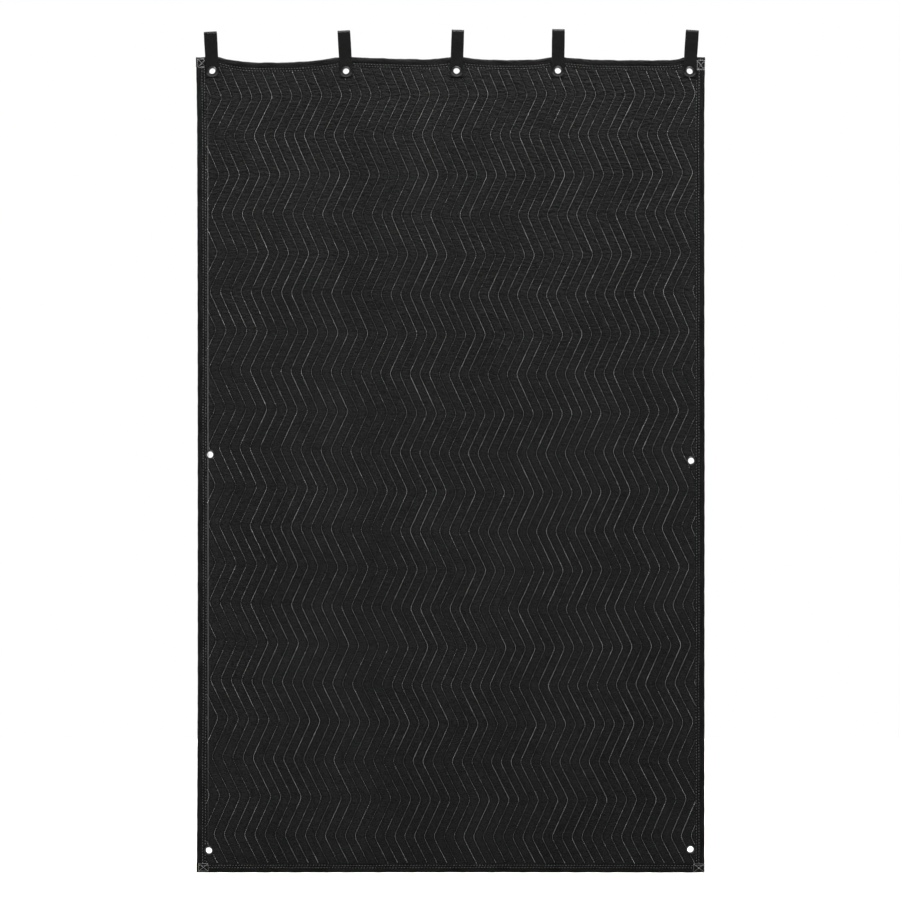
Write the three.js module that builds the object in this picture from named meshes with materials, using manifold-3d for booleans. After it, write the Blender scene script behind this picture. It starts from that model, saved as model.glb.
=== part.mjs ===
// A quilted acoustic curtain that hangs flat by five webbing tabs, face on to -Y.
// Millimetres, +Z up. The origin is the middle of the top edge, level with the highest tab's crown.
import * as THREE from "three";
import { mergeVertices } from "three/addons/utils/BufferGeometryUtils.js";
import Module from "manifold-3d";

const wasm = await Module();
wasm.setup();

// The cloth's outline
const TOP_CORNER_Z = -84; // the top corners, below the tabs' crowns
const BOTTOM_Z = -2529;
const TOP_STEP = 32; // spacing of the points along the scalloped top edge
const TOP_STEPS = 23; // points each side of the middle
const SCALLOP_POWER = 3; // 2 is a parabola, more is flatter in its middle

// The side edges at a few heights, from the middle line of the curtain
const SIDES = [
  { z: 10, left: -765.5, right: 763 },
  { z: -270, left: -761.4, right: 760.4 },
  { z: -820, left: -760.2, right: 760.8 },
  { z: -1350, left: -759.6, right: 761.6 },
  { z: -2000, left: -759.6, right: 760.8 },
  { z: -2600, left: -763.2, right: 760.8 },
];

// Quilting: upright zigzag lines, pinched by the thread, with a soft crown between each two
const LINE_PITCH = 29.2;
const LINES_LEFT = 30; // lines each side of the middle one, past the edges
const LINES_RIGHT = 29;
const FIRST_ROW = -2; // turning rows past the top and bottom edges
const LAST_ROW = 21;
const FIELD_DEPTH = 30;
const MIDDLE_LINE_X = -11;
const HALF_SPREAD = 26; // lines from the middle one to the side edge
const SPREAD = { bow: 15, lean: -13, fan: 10 }; // how far the lines wander sideways
const TURN_STEP = 116.9; // height of one slanting leg of a zigzag
const TURN_LOOSEN = 0.265; // how much longer the legs are high up than low down
const FIRST_TURN_Z = -315.3;
const TURNS = 19; // turning rows from the first to the last that shows
const TURN_BOW = 7; // how much higher the turning rows are at the side edges
const ZIGZAG = 25.7; // sideways reach of a leg, each way from its middle
const MIDDLE_Z = -1308;
const HALF_HEIGHT = 1200;
const PINCHED = 2.2; // how far the front stands before the cloth's middle on a line
const CROWN = 3.9; // and between lines
const UNEVEN = 0.35; // how much the crowns differ

// Edges, binding and patches
const HEM = 2; // half thickness of the cloth inside its binding
const BINDING = 28; // width of each leaf
const BINDING_SKIN = 1.1;
const GAP = 0.3; // between pieces
const BINDING_BEVEL = 1.5;
const BINDING_FACE = HEM + GAP + BINDING_SKIN; // half thickness over the binding
const HEADING_END_Z = -150; // seam under the tabs' ends
const STRIP_X = 700; // seam of the side strips
const FAR = 900; // past the sides, the front and the back
const FAR_DOWN = 2600; // past the bottom

// Webbing tabs
const WEBBING_WIDTH = 38;
const WEBBING = 1.5;
const TAB_TAIL = 21; // from the eyelet's centre down to the cut end
const TAB_MARGIN = 2; // pressed flat around a tab
const LOOP_RADIUS = 8; // inside the crown
const TAB_INSIDE = BINDING_FACE + GAP; // half gap between the legs where they are sewn
const SEWN_TOP = 44; // above the eyelet's centre, just over the cloth's edge
const OPENING_UP = [
  { rise: 56, half: 6.2 },
  { rise: 76, half: 7.6 },
];
const CROWN_STEPS = 8;

// Eyelets
const BORE = 9.5;
const BARREL = 10.4;
const HOLE = BARREL + GAP;
const FLANGE = 13.5;
const FLANGE_SKIN = 0.9;
const CREST = 0.35; // how far the flange's inner rim stands proud
const LIP = 11.8; // the barrel's end, rolled over the washer
const LIP_SKIN = 0.6;
const WASHER_SKIN = 0.8;
const ROUND = 16; // sides of a round piece
const PATCH = 15; // pressed level with the binding around an eyelet

// x and z of each eyelet's centre. A tab's crown is its highest point, and lean turns its top to the left.
const TAB_EYELETS = [
  { x: -715.5, z: -124.8, crown: -7.4, lean: 3.0 },
  { x: -314.4, z: -125.1, crown: -3.9, lean: 3.2 },
  { x: 17.1, z: -124.2, crown: -1.8, lean: -1.9 },
  { x: 321.0, z: -123.9, crown: 0, lean: -0.8 },
  { x: 716.4, z: -125.0, crown: -2.4, lean: -3.8 },
];
const CLOTH_EYELETS = [
  { name: "middle_left", x: -722, z: -1275.5 },
  { name: "middle_right", x: 720.8, z: -1294 },
  { name: "bottom_left", x: -725.7, z: -2462.7 },
  { name: "bottom_right", x: 718.2, z: -2458.8 },
];

// How the top edge sags from one tab to the next. at is where it is lowest, as a share of the span.
const SCALLOPS = [
  { from: -765, to: -735, sag: 0.5, at: 0.5 },
  { from: -695, to: -334, sag: 17.5, at: 0.43 },
  { from: -296, to: 0, sag: 9.5, at: 0.62 },
  { from: 36, to: 303, sag: 9, at: 0.5 },
  { from: 340, to: 698, sag: 10, at: 0.55 },
];

const finish = {
  cloth: new THREE.MeshStandardMaterial({ name: "quilted_cloth", color: 0x242426, roughness: 0.95, metalness: 0 }),
  binding: new THREE.MeshStandardMaterial({ name: "binding", color: 0x1b1b1c, roughness: 0.8, metalness: 0 }),
  webbing: new THREE.MeshStandardMaterial({ name: "webbing", color: 0x1e1e1f, roughness: 0.85, metalness: 0 }),
  eyelet: new THREE.MeshStandardMaterial({ name: "eyelet", color: 0x101011, roughness: 0.3, metalness: 0.9 }),
};

const part = new THREE.Group();
part.name = "acoustic_curtain";

function addMesh(name, geometry, material) {
  const mesh = new THREE.Mesh(geometry, material);
  mesh.name = name;
  part.add(mesh);
  return mesh;
}

// A closed geometry as a solid that can be joined and cut
function solid(geometry) {
  const bare = geometry.clone();
  bare.deleteAttribute("normal");
  bare.deleteAttribute("uv");
  const merged = mergeVertices(bare, 1e-4);
  return new wasm.Manifold(
    new wasm.Mesh({
      numProp: 3,
      vertProperties: new Float32Array(merged.attributes.position.array),
      triVerts: new Uint32Array(merged.index.array),
    }),
  );
}

function geometryOf(shape) {
  const mesh = shape.getMesh();
  const geometry = new THREE.BufferGeometry();
  geometry.setAttribute("position", new THREE.BufferAttribute(mesh.vertProperties, 3));
  geometry.setIndex(new THREE.BufferAttribute(mesh.triVerts, 1));
  geometry.computeVertexNormals();
  return geometry;
}

// A box from its low and high corners
function box(low, high) {
  const size = high.map((v, i) => v - low[i]);
  const geometry = new THREE.BoxGeometry(...size);
  geometry.translate(...low.map((v, i) => v + size[i] / 2));
  return solid(geometry);
}

// A round bar along Y through the cloth
function bar(x, z, radius, from, to) {
  const geometry = new THREE.CylinderGeometry(radius, radius, to - from, ROUND);
  geometry.translate(x, (from + to) / 2, z);
  return solid(geometry);
}

// A side edge at a height, smoothly between the rows of SIDES
function sideX(z, side) {
  const last = SIDES.length - 2;
  const i = Math.min(last, Math.max(0, SIDES.findIndex((row) => row.z < z) - 1));
  const a = SIDES[i];
  const b = SIDES[i + 1];
  const t = THREE.MathUtils.smoothstep(a.z - z, 0, a.z - b.z);
  return THREE.MathUtils.lerp(a[side], b[side], t);
}

// The top edge: level at the tabs and corners, sagging in a flat curve between them
function topZ(x) {
  const span = SCALLOPS.find((s) => x > s.from && x < s.to);
  if (!span) return TOP_CORNER_Z;
  const s = (x - span.from) / (span.to - span.from);
  const away = s < span.at ? 1 - s / span.at : (s - span.at) / (1 - span.at);
  return TOP_CORNER_Z - span.sag * (1 - away ** SCALLOP_POWER);
}

// The cloth's outline moved inwards, as a shape whose second axis is Z
function outline(inset) {
  const left = sideX(TOP_CORNER_Z, "left") + inset;
  const right = sideX(TOP_CORNER_Z, "right") - inset;
  const points = [new THREE.Vector2(left, TOP_CORNER_Z - inset)];
  for (let x = -TOP_STEPS * TOP_STEP; x <= TOP_STEPS * TOP_STEP; x += TOP_STEP) {
    if (x > left && x < right) points.push(new THREE.Vector2(x, topZ(x) - inset));
  }
  points.push(new THREE.Vector2(right, TOP_CORNER_Z - inset));
  for (const { z } of SIDES.slice(1, -1)) points.push(new THREE.Vector2(sideX(z, "right") - inset, z));
  points.push(new THREE.Vector2(sideX(BOTTOM_Z, "right") - inset, BOTTOM_Z + inset));
  points.push(new THREE.Vector2(sideX(BOTTOM_Z, "left") + inset, BOTTOM_Z + inset));
  for (const { z } of SIDES.slice(1, -1).reverse()) points.push(new THREE.Vector2(sideX(z, "left") + inset, z));
  return new THREE.Shape(points);
}

// A slab of the outline, so far in front of the cloth's middle and behind it, its rim bevelled when bevel is over 0
function slab(inset, front, back = front, bevel = 0) {
  const geometry = new THREE.ExtrudeGeometry(outline(inset + bevel), {
    depth: front + back - 2 * bevel,
    bevelEnabled: bevel > 0,
    bevelSize: bevel,
    bevelThickness: bevel,
    bevelSegments: 1,
  });
  geometry.translate(0, 0, bevel - back);
  geometry.rotateX(Math.PI / 2);
  return solid(geometry);
}

// Height of a turning row. Row 1 is the first full left turn.
function turnZ(row, u) {
  const down = TURN_STEP * (row - 1) + TURN_LOOSEN * (row - 1) * (TURNS - row);
  return FIRST_TURN_Z - down + TURN_BOW * u * u;
}

// Where a quilting line turns in a row: its own place, bowed, leaning and fanned out a little, and the zigzag
function lineX(line, row) {
  const u = line / HALF_SPREAD;
  const v = (turnZ(row, u) - MIDDLE_Z) / HALF_HEIGHT;
  const place = MIDDLE_LINE_X + LINE_PITCH * line + SPREAD.lean * u * u * (1 - u);
  const wander = (SPREAD.bow + SPREAD.fan * u) * v * v;
  return place + wander + (row % 2 ? -ZIGZAG : ZIGZAG);
}

// How far the quilting stands in front of the cloth's middle, on a line or on the crown between two
function reliefAt(line, row) {
  if (Number.isInteger(line)) return PINCHED;
  return CROWN + UNEVEN * Math.sin(3.4 * line + 2.3 * row) * Math.cos(0.6 * row - 0.74 * line);
}

// The quilted field, larger than the cloth and deep behind it: a column of points on each line and each crown,
// a row of them at each turn
function quiltedField() {
  const columns = 2 * (LINES_LEFT + LINES_RIGHT) + 1;
  const rows = LAST_ROW - FIRST_ROW + 1;
  const positions = [];
  for (const side of ["front", "back"]) {
    for (let row = FIRST_ROW; row <= LAST_ROW; row++) {
      for (let c = 0; c < columns; c++) {
        const line = c / 2 - LINES_LEFT;
        const y = side === "front" ? -reliefAt(line, row) : FIELD_DEPTH;
        positions.push(lineX(line, row), y, turnZ(row, line / HALF_SPREAD));
      }
    }
  }
  const behind = rows * columns;
  const index = [];
  const quad = (a, b, c, d) => index.push(a, b, c, a, c, d);
  for (let r = 0; r < rows - 1; r++) {
    for (let c = 0; c < columns - 1; c++) {
      const a = r * columns + c;
      const b = a + columns;
      quad(a, b, b + 1, a + 1);
      quad(a + behind, a + 1 + behind, b + 1 + behind, b + behind);
    }
  }
  for (let c = 0; c < columns - 1; c++) {
    const low = (rows - 1) * columns + c;
    quad(c, c + 1, c + 1 + behind, c + behind);
    quad(low + 1, low, low + behind, low + 1 + behind);
  }
  for (let r = 0; r < rows - 1; r++) {
    const a = r * columns;
    const z = a + columns - 1;
    quad(a + columns, a, a + behind, a + columns + behind);
    quad(z, z + columns, z + columns + behind, z + behind);
  }
  const geometry = new THREE.BufferGeometry();
  geometry.setAttribute("position", new THREE.Float32BufferAttribute(positions, 3));
  geometry.setIndex(index);
  return solid(geometry);
}

// The whole quilted cloth: the field inside the binding, a flat hem under it, pressed flat under each tab and
// around each eyelet of its own, with the eyelets' holes
function quiltedCloth() {
  let cloth = quiltedField()
    .intersect(slab(BINDING + GAP, FAR, BINDING_FACE))
    .add(slab(BINDING_SKIN + GAP, HEM));
  const reach = WEBBING_WIDTH / 2 + TAB_MARGIN;
  for (const { x, z } of TAB_EYELETS) {
    cloth = cloth
      .subtract(box([x - reach, -FAR, z - TAB_TAIL - TAB_MARGIN], [x + reach, -BINDING_FACE, 0]))
      .subtract(bar(x, z, HOLE, -FAR, FAR));
  }
  for (const { x, z } of CLOTH_EYELETS) {
    cloth = cloth.subtract(bar(x, z, PATCH, -FAR, -BINDING_FACE)).subtract(bar(x, z, HOLE, -FAR, FAR));
  }
  return cloth;
}

// The cloth as a middle panel and the strips that hold the eyelets: one down each side, and a heading strip for
// each tab, which ends halfway to the next one
function addCloth() {
  const cloth = quiltedCloth();
  const under = HEADING_END_Z - GAP;
  const seam = STRIP_X - GAP;
  const nodes = [
    { name: "quilted_panel", low: [-seam, -FAR, -FAR_DOWN], high: [seam, FAR, under] },
    { name: "side_strip_left", low: [-FAR, -FAR, -FAR_DOWN], high: [-STRIP_X, FAR, under] },
    { name: "side_strip_right", low: [STRIP_X, -FAR, -FAR_DOWN], high: [FAR, FAR, under] },
  ];
  const halfway = TAB_EYELETS.slice(1).map(({ x }, i) => (TAB_EYELETS[i].x + x) / 2);
  const ends = [-FAR, ...halfway, FAR];
  TAB_EYELETS.forEach((eyelet, i) => {
    const low = [ends[i], -FAR, HEADING_END_Z];
    nodes.push({ name: `heading_strip_${i + 1}`, low, high: [ends[i + 1] - GAP, FAR, 0] });
  });
  for (const { name, low, high } of nodes) addMesh(name, geometryOf(cloth.intersect(box(low, high))), finish.cloth);
}

// Binding folded over all four edges, cut into its four lengths. The sides butt on the top and bottom ones,
// and the side eyelets bite into its inner edge.
function addBinding() {
  let folded = slab(0, BINDING_FACE, BINDING_FACE, BINDING_BEVEL)
    .subtract(slab(BINDING_SKIN, HEM + GAP))
    .subtract(slab(BINDING, FAR));
  for (const { x, z } of CLOTH_EYELETS) folded = folded.subtract(bar(x, z, HOLE, -FAR, FAR));
  const depth = 2 * BINDING_FACE;
  const topCut = TOP_CORNER_Z - BINDING - GAP;
  const bottomCut = BOTTOM_Z + BINDING + GAP;
  const inner = STRIP_X + BINDING;
  const top = box([-FAR, -depth, topCut + GAP], [FAR, depth, 0]).add(
    box([-inner, -depth, HEADING_END_Z], [inner, depth, 0]),
  );
  const nodes = [
    { name: "binding_top", cut: top },
    { name: "binding_bottom", cut: box([-FAR, -depth, BOTTOM_Z - 1], [FAR, depth, bottomCut - GAP]) },
    { name: "binding_left", cut: box([-FAR, -depth, bottomCut], [-inner, depth, topCut]) },
    { name: "binding_right", cut: box([inner, -depth, bottomCut], [FAR, depth, topCut]) },
  ];
  for (const { name, cut } of nodes) addMesh(name, geometryOf(folded.intersect(cut)), finish.binding);
}

// Half the width inside a tab's loop, from its cut end up to its crown, as [y, z] above the eyelet's centre
function loopInside(rise) {
  const springing = rise - WEBBING - LOOP_RADIUS;
  const points = [
    [TAB_INSIDE, -TAB_TAIL],
    [TAB_INSIDE, SEWN_TOP],
    ...OPENING_UP.map((row) => [row.half, row.rise]),
    [LOOP_RADIUS, springing],
  ];
  for (let i = 1; i < CROWN_STEPS / 2; i++) {
    const angle = (i * Math.PI) / CROWN_STEPS;
    points.push([LOOP_RADIUS * Math.cos(angle), springing + LOOP_RADIUS * Math.sin(angle)]);
  }
  points.push([0, springing + LOOP_RADIUS]);
  return points;
}

// The same line moved out by the webbing's thickness
function moveOut(points) {
  return points.map(([y, z], i) => {
    const a = points[Math.max(0, i - 1)];
    const b = points[Math.min(points.length - 1, i + 1)];
    if (i === points.length - 1) return [0, z + WEBBING];
    const length = Math.hypot(b[0] - a[0], b[1] - a[1]);
    const out = i === 0 ? [1, 0] : [(b[1] - a[1]) / length, (a[0] - b[0]) / length];
    return [y + WEBBING * out[0], z + WEBBING * out[1]];
  });
}

// One tab: a strap folded over the rod's place, drawn from the side and given its width, with the eyelet's hole
function tabGeometry(rise) {
  const inside = loopInside(rise);
  const outside = moveOut(inside);
  const mirrored = (points) => points.slice(0, -1).reverse().map(([y, z]) => [-y, z]);
  const strap = [...outside, ...mirrored(outside), ...mirrored(inside).reverse(), ...inside.slice().reverse()];
  const geometry = new THREE.ExtrudeGeometry(new THREE.Shape(strap.map(([y, z]) => new THREE.Vector2(y, z))), {
    depth: WEBBING_WIDTH,
    bevelEnabled: false,
  });
  geometry.translate(0, 0, -WEBBING_WIDTH / 2);
  geometry.applyMatrix4(
    new THREE.Matrix4().makeBasis(
      new THREE.Vector3(0, 1, 0),
      new THREE.Vector3(0, 0, 1),
      new THREE.Vector3(1, 0, 0),
    ),
  );
  return geometryOf(solid(geometry).subtract(bar(0, 0, HOLE, -FAR, FAR)));
}

function addTabs() {
  TAB_EYELETS.forEach(({ x, z, crown, lean }, i) => {
    const mesh = addMesh(`tab_${i + 1}`, tabGeometry(crown - z), finish.webbing);
    mesh.rotation.y = THREE.MathUtils.degToRad(-lean);
    mesh.position.set(x, 0, z);
  });
}

// A ring turned about Y from a closed profile of [radius, y]
function ring(profile) {
  const points = [...profile, profile[0]].reverse().map(([r, y]) => new THREE.Vector2(r, y));
  return new THREE.LatheGeometry(points, ROUND);
}

// An eyelet through a thickness of twice face: a flanged barrel, and the washer that its end is rolled over
function addEyelet(name, x, z, face) {
  const front = -(face + GAP);
  const washerIn = face + GAP;
  const washerOut = washerIn + WASHER_SKIN;
  const lipIn = washerOut + GAP;
  const barrel = [
    [BORE, front - FLANGE_SKIN],
    [BORE, lipIn + LIP_SKIN],
    [LIP - LIP_SKIN, lipIn + LIP_SKIN],
    [LIP, lipIn],
    [BARREL, lipIn],
    [BARREL, front],
    [FLANGE, front],
    [FLANGE - FLANGE_SKIN, front - FLANGE_SKIN],
    [BARREL + CREST, front - FLANGE_SKIN - CREST],
  ];
  const washer = [
    [HOLE, washerIn],
    [HOLE, washerOut],
    [FLANGE - WASHER_SKIN, washerOut],
    [FLANGE, washerIn],
  ];
  for (const [kind, profile] of [["eyelet", barrel], ["washer", washer]]) {
    addMesh(`${kind}_${name}`, ring(profile), finish.eyelet).position.set(x, 0, z);
  }
}

addCloth();
addBinding();
addTabs();
TAB_EYELETS.forEach(({ x, z }, i) => addEyelet(`tab_${i + 1}`, x, z, TAB_INSIDE + WEBBING));
for (const { name, x, z } of CLOTH_EYELETS) addEyelet(name, x, z, BINDING_FACE);

export default part;
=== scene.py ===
"""Looks of a quilted acoustic curtain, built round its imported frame.

Metres, +Z up. The front faces -Y, and the origin is the middle of the top edge, as in the frame. The cloth,
its bindings, loops, eyelets and stitches are surfaces on grids, worked out with whole numpy arrays.
"""

import logging
import math
from dataclasses import dataclass
from enum import Enum

import bpy
import numpy as np
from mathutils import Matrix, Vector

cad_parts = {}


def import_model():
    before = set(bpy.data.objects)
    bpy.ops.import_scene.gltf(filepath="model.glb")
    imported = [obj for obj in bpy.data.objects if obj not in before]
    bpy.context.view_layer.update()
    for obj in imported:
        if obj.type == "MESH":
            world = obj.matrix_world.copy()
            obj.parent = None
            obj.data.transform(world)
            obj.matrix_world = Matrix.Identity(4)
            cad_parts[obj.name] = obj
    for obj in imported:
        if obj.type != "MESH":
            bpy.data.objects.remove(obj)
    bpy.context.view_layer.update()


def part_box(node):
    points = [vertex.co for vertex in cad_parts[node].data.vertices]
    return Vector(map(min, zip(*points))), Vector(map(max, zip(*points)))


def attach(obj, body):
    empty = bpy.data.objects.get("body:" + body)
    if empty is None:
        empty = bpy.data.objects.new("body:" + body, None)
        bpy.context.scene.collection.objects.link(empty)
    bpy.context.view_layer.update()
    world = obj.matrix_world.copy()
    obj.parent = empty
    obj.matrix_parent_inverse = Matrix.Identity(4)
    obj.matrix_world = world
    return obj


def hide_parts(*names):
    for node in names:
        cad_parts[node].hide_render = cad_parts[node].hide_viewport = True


Pair = tuple[float, float]
Triple = tuple[float, float, float]
Socket = bpy.types.NodeSocket

LOG = logging.getLogger("curtain")
BODY = "root"
UV_MAP = "quilting"
SHADE = "shade"
WHITE = (1.0, 1.0, 1.0, 1.0)
# Room between two pieces that lie on each other.
GAP = 0.0003


class Face(Enum):
    """The two faces of the cloth, by the way each looks along Y."""

    FRONT = -1.0
    BACK = 1.0


class Side(Enum):
    """The two upright edges, by the way that leads inwards along X."""

    LEFT = 1.0
    RIGHT = -1.0


class Slot(Enum):
    """The material slots."""

    CLOTH = "quilted_cloth"
    BINDING = "binding"
    WEBBING = "webbing"
    EYELET = "eyelet"


def smooth(start: float, end: float, value: np.ndarray) -> np.ndarray:
    """Goes from 0 at start to 1 at end along 3t² - 2t³, and stays level past both.

    Args:
        start: where the result is still 0.
        end: where it has reached 1, on either side of start.
        value: the places to work it out at.

    Returns:
        An array of the shape of value.
    """
    t = np.clip((value - start) / (end - start), 0.0, 1.0)
    return t * t * (3.0 - 2.0 * t)


def wander(along: np.ndarray, wavelength: float, seed: float) -> np.ndarray:
    """An uneven wave between about -1 and 1: three sines whose lengths have no common measure.

    Args:
        along: distance along the piece.
        wavelength: length of the longest of the three waves.
        seed: shifts the waves, so that two pieces differ.

    Returns:
        An array of the shape of along.
    """
    t = 2.0 * np.pi * along / wavelength
    return 0.5 * np.sin(t + seed) + 0.3 * np.sin(1.73 * t + 2.1 * seed) + 0.2 * np.sin(3.31 * t + 4.7 * seed)


def patches(x: np.ndarray, z: np.ndarray, size: float, seed: float) -> np.ndarray:
    """An uneven field over the cloth between about -1 and 1: wander along X bent by wander along Z, and back.

    Args:
        x: places across.
        z: places up.
        size: how wide one patch is.
        seed: shifts the patches.

    Returns:
        An array of the shape of x.
    """
    bent_x = x + 0.35 * size * wander(z, 1.9 * size, seed + 1.0)
    bent_z = z + 0.35 * size * wander(x, 2.3 * size, seed + 2.0)
    return 0.5 * (wander(bent_x, 2.0 * size, seed) + wander(bent_z, 2.2 * size, seed + 3.0))


def hang(x: np.ndarray, z: np.ndarray) -> np.ndarray:
    """How far the hung cloth stands behind its plane: two slow waves of a millimetre, still at the loops."""
    free = smooth(-0.2, -0.8, z)
    return free * (0.0010 * np.sin(4.6 * x + 1.2 * np.sin(1.7 * z)) + 0.0008 * np.sin(3.9 * z + 2.2 * x))


def unit(vectors: np.ndarray) -> np.ndarray:
    """Each row of vectors divided by its length."""
    return vectors / np.linalg.norm(vectors, axis=1, keepdims=True)


def travelled(points: np.ndarray) -> np.ndarray:
    """How far along a line each of its points is: the sum of the straight steps up to it."""
    return np.concatenate([[0.0], np.cumsum(np.linalg.norm(np.diff(points, axis=0), axis=1))])


def placed(name: str, data: bpy.types.ID) -> bpy.types.Object:
    """Puts a mesh, a lamp or a camera into the scene.

    Args:
        name: the object's name.
        data: what it shows.

    Returns:
        The object.
    """
    item = bpy.data.objects.new(name, data)
    bpy.context.scene.collection.objects.link(item)
    return item


@dataclass
class Shape:
    """Points and faces of one surface, with what its finish reads at each point."""

    points: np.ndarray
    faces: list[np.ndarray]
    uv: np.ndarray | None = None
    shade: np.ndarray | None = None

    def volume(self) -> float:
        """The signed volume inside the faces: the sum of the tetrahedra from the origin to each triangle.

        Returns:
            Cubic metres, negative where the faces point inwards.
        """
        total = 0.0
        for block in self.faces:
            first = self.points[block[:, 0]]
            for i in range(1, block.shape[1] - 1):
                b, c = self.points[block[:, i]], self.points[block[:, i + 1]]
                total += float(np.einsum("ij,ij->i", first, np.cross(b, c)).sum())
        return total / 6.0

    def outward(self) -> "Shape":
        """Turns the faces round where they point inwards.

        Returns:
            The same shape with its faces pointing out.
        """
        if self.volume() < 0.0:
            self.faces = [block[:, ::-1] for block in self.faces]
        return self


def joined(shapes: list[Shape]) -> Shape:
    """Several shapes as one, each block of faces moved on by the points before it.

    Args:
        shapes: the shapes, all with uv and shade or all without.

    Returns:
        One shape.
    """
    offsets = np.cumsum([0] + [len(s.points) for s in shapes[:-1]])
    faces = [block + offset for s, offset in zip(shapes, offsets) for block in s.faces]
    uv = None if shapes[0].uv is None else np.concatenate([s.uv for s in shapes])
    shade = None if shapes[0].shade is None else np.concatenate([s.shade for s in shapes])
    return Shape(np.concatenate([s.points for s in shapes]), faces, uv, shade)


def grid_faces(rows: int, columns: int, wrap_rows: bool = False, wrap_columns: bool = False) -> np.ndarray:
    """Quads over a grid of points stored row by row.

    Args:
        rows: rows of points.
        columns: points in a row.
        wrap_rows: whether the last row joins the first.
        wrap_columns: whether the last column joins the first.

    Returns:
        An array of quads, four point numbers each.
    """
    r = np.arange(rows if wrap_rows else rows - 1)[:, None]
    c = np.arange(columns if wrap_columns else columns - 1)[None, :]
    down, right = (r + 1) % rows, (c + 1) % columns
    corners = (r * columns + c, down * columns + c, down * columns + right, r * columns + right)
    return np.stack(corners, axis=-1).reshape(-1, 4)


def closed_sheet(front: np.ndarray, back: np.ndarray, keep: np.ndarray, uv: np.ndarray) -> Shape:
    """Closes two grids of points, one behind the other, into a sheet with walls round its rim and its holes.

    A cell is kept or left open. Where a kept cell borders an open one or the rim, a wall joins front to back.

    Args:
        front: points of the front, (rows, columns, 3), row by row down and column by column to the right.
        back: the points behind them, in the same order.
        keep: which cells are cloth, (rows - 1, columns - 1).
        uv: two numbers for each point of the grid.

    Returns:
        The closed shape, without the points that no face uses.
    """
    rows, columns = front.shape[:2]
    behind = rows * columns
    cells = grid_faces(rows, columns).reshape(rows - 1, columns - 1, 4)
    kept = cells[keep]
    padded = np.pad(keep, 1)
    beside = (padded[1:-1, :-2], padded[2:, 1:-1], padded[1:-1, 2:], padded[:-2, 1:-1])
    walls = []
    for i, other in enumerate(beside):
        border = cells[keep & ~other]
        p, q = border[:, i], border[:, (i + 1) % 4]
        walls.append(np.stack([q, p, p + behind, q + behind], axis=-1))
    faces = np.concatenate([kept, kept[:, ::-1] + behind, *walls])
    points = np.concatenate([front.reshape(-1, 3), back.reshape(-1, 3)])
    used, faces_flat = np.unique(faces, return_inverse=True)
    both = np.concatenate([uv.reshape(-1, 2)] * 2)
    return Shape(points[used], [faces_flat.reshape(-1, 4)], both[used]).outward()


def open_holes(front: np.ndarray, back: np.ndarray, holes: list[Pair], radius: float) -> np.ndarray:
    """Opens round holes in a sheet's two grids.

    Cells inside a hole go, and the points round it move straight out or in to its circle.

    Args:
        front: points of the front, changed in place.
        back: points of the back, changed in place.
        holes: x and z of each hole's middle.
        radius: of every hole.

    Returns:
        Which cells are left, as closed_sheet reads them.
    """
    keep = np.ones((front.shape[0] - 1, front.shape[1] - 1), bool)
    middle = 0.25 * (front[:-1, :-1] + front[1:, :-1] + front[1:, 1:] + front[:-1, 1:])
    for x, z in holes:
        inside = np.hypot(middle[..., 0] - x, middle[..., 2] - z) < radius
        keep &= ~inside
        near = np.pad(inside, 1)
        touched = near[:-1, :-1] | near[1:, :-1] | near[1:, 1:] | near[:-1, 1:]
        for side in (front, back):
            dx, dz = side[..., 0] - x, side[..., 2] - z
            scale = radius / np.maximum(np.hypot(dx, dz), 1e-6)
            side[..., 0] = np.where(touched, x + dx * scale, side[..., 0])
            side[..., 2] = np.where(touched, z + dz * scale, side[..., 2])
    return keep


def cut_corners(outline: np.ndarray, times: int) -> np.ndarray:
    """Rounds a closed outline: each time, every side keeps its middle half, and short sides join them.

    Args:
        outline: corners, one row each.
        times: how often.

    Returns:
        The rounded outline, with twice as many points for each time.
    """
    for _ in range(times):
        after = np.roll(outline, -1, axis=0)
        halves = [0.75 * outline + 0.25 * after, 0.25 * outline + 0.75 * after]
        outline = np.stack(halves, axis=1).reshape(-1, 2)
    return outline


def turned(profile: np.ndarray, centre: Triple, steps: int) -> Shape:
    """Turns a closed profile of radius and depth once round an axis along Y.

    A point at radius r and turn a stands at centre + (r cos a, depth, r sin a).

    Args:
        profile: (n, 2), radius and depth.
        centre: where the axis stands, and where depth is 0.
        steps: points round.

    Returns:
        The ring, a closed shape.
    """
    angle = np.linspace(0.0, 2.0 * np.pi, steps, endpoint=False)[:, None]
    radius, depth = profile[None, :, 0], profile[None, :, 1]
    x = centre[0] + radius * np.cos(angle)
    y = centre[1] + depth + 0.0 * angle
    z = centre[2] + radius * np.sin(angle)
    points = np.stack([x, y, z], axis=-1).reshape(-1, 3)
    return Shape(points, [grid_faces(steps, len(profile), True, True)]).outward()


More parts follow.
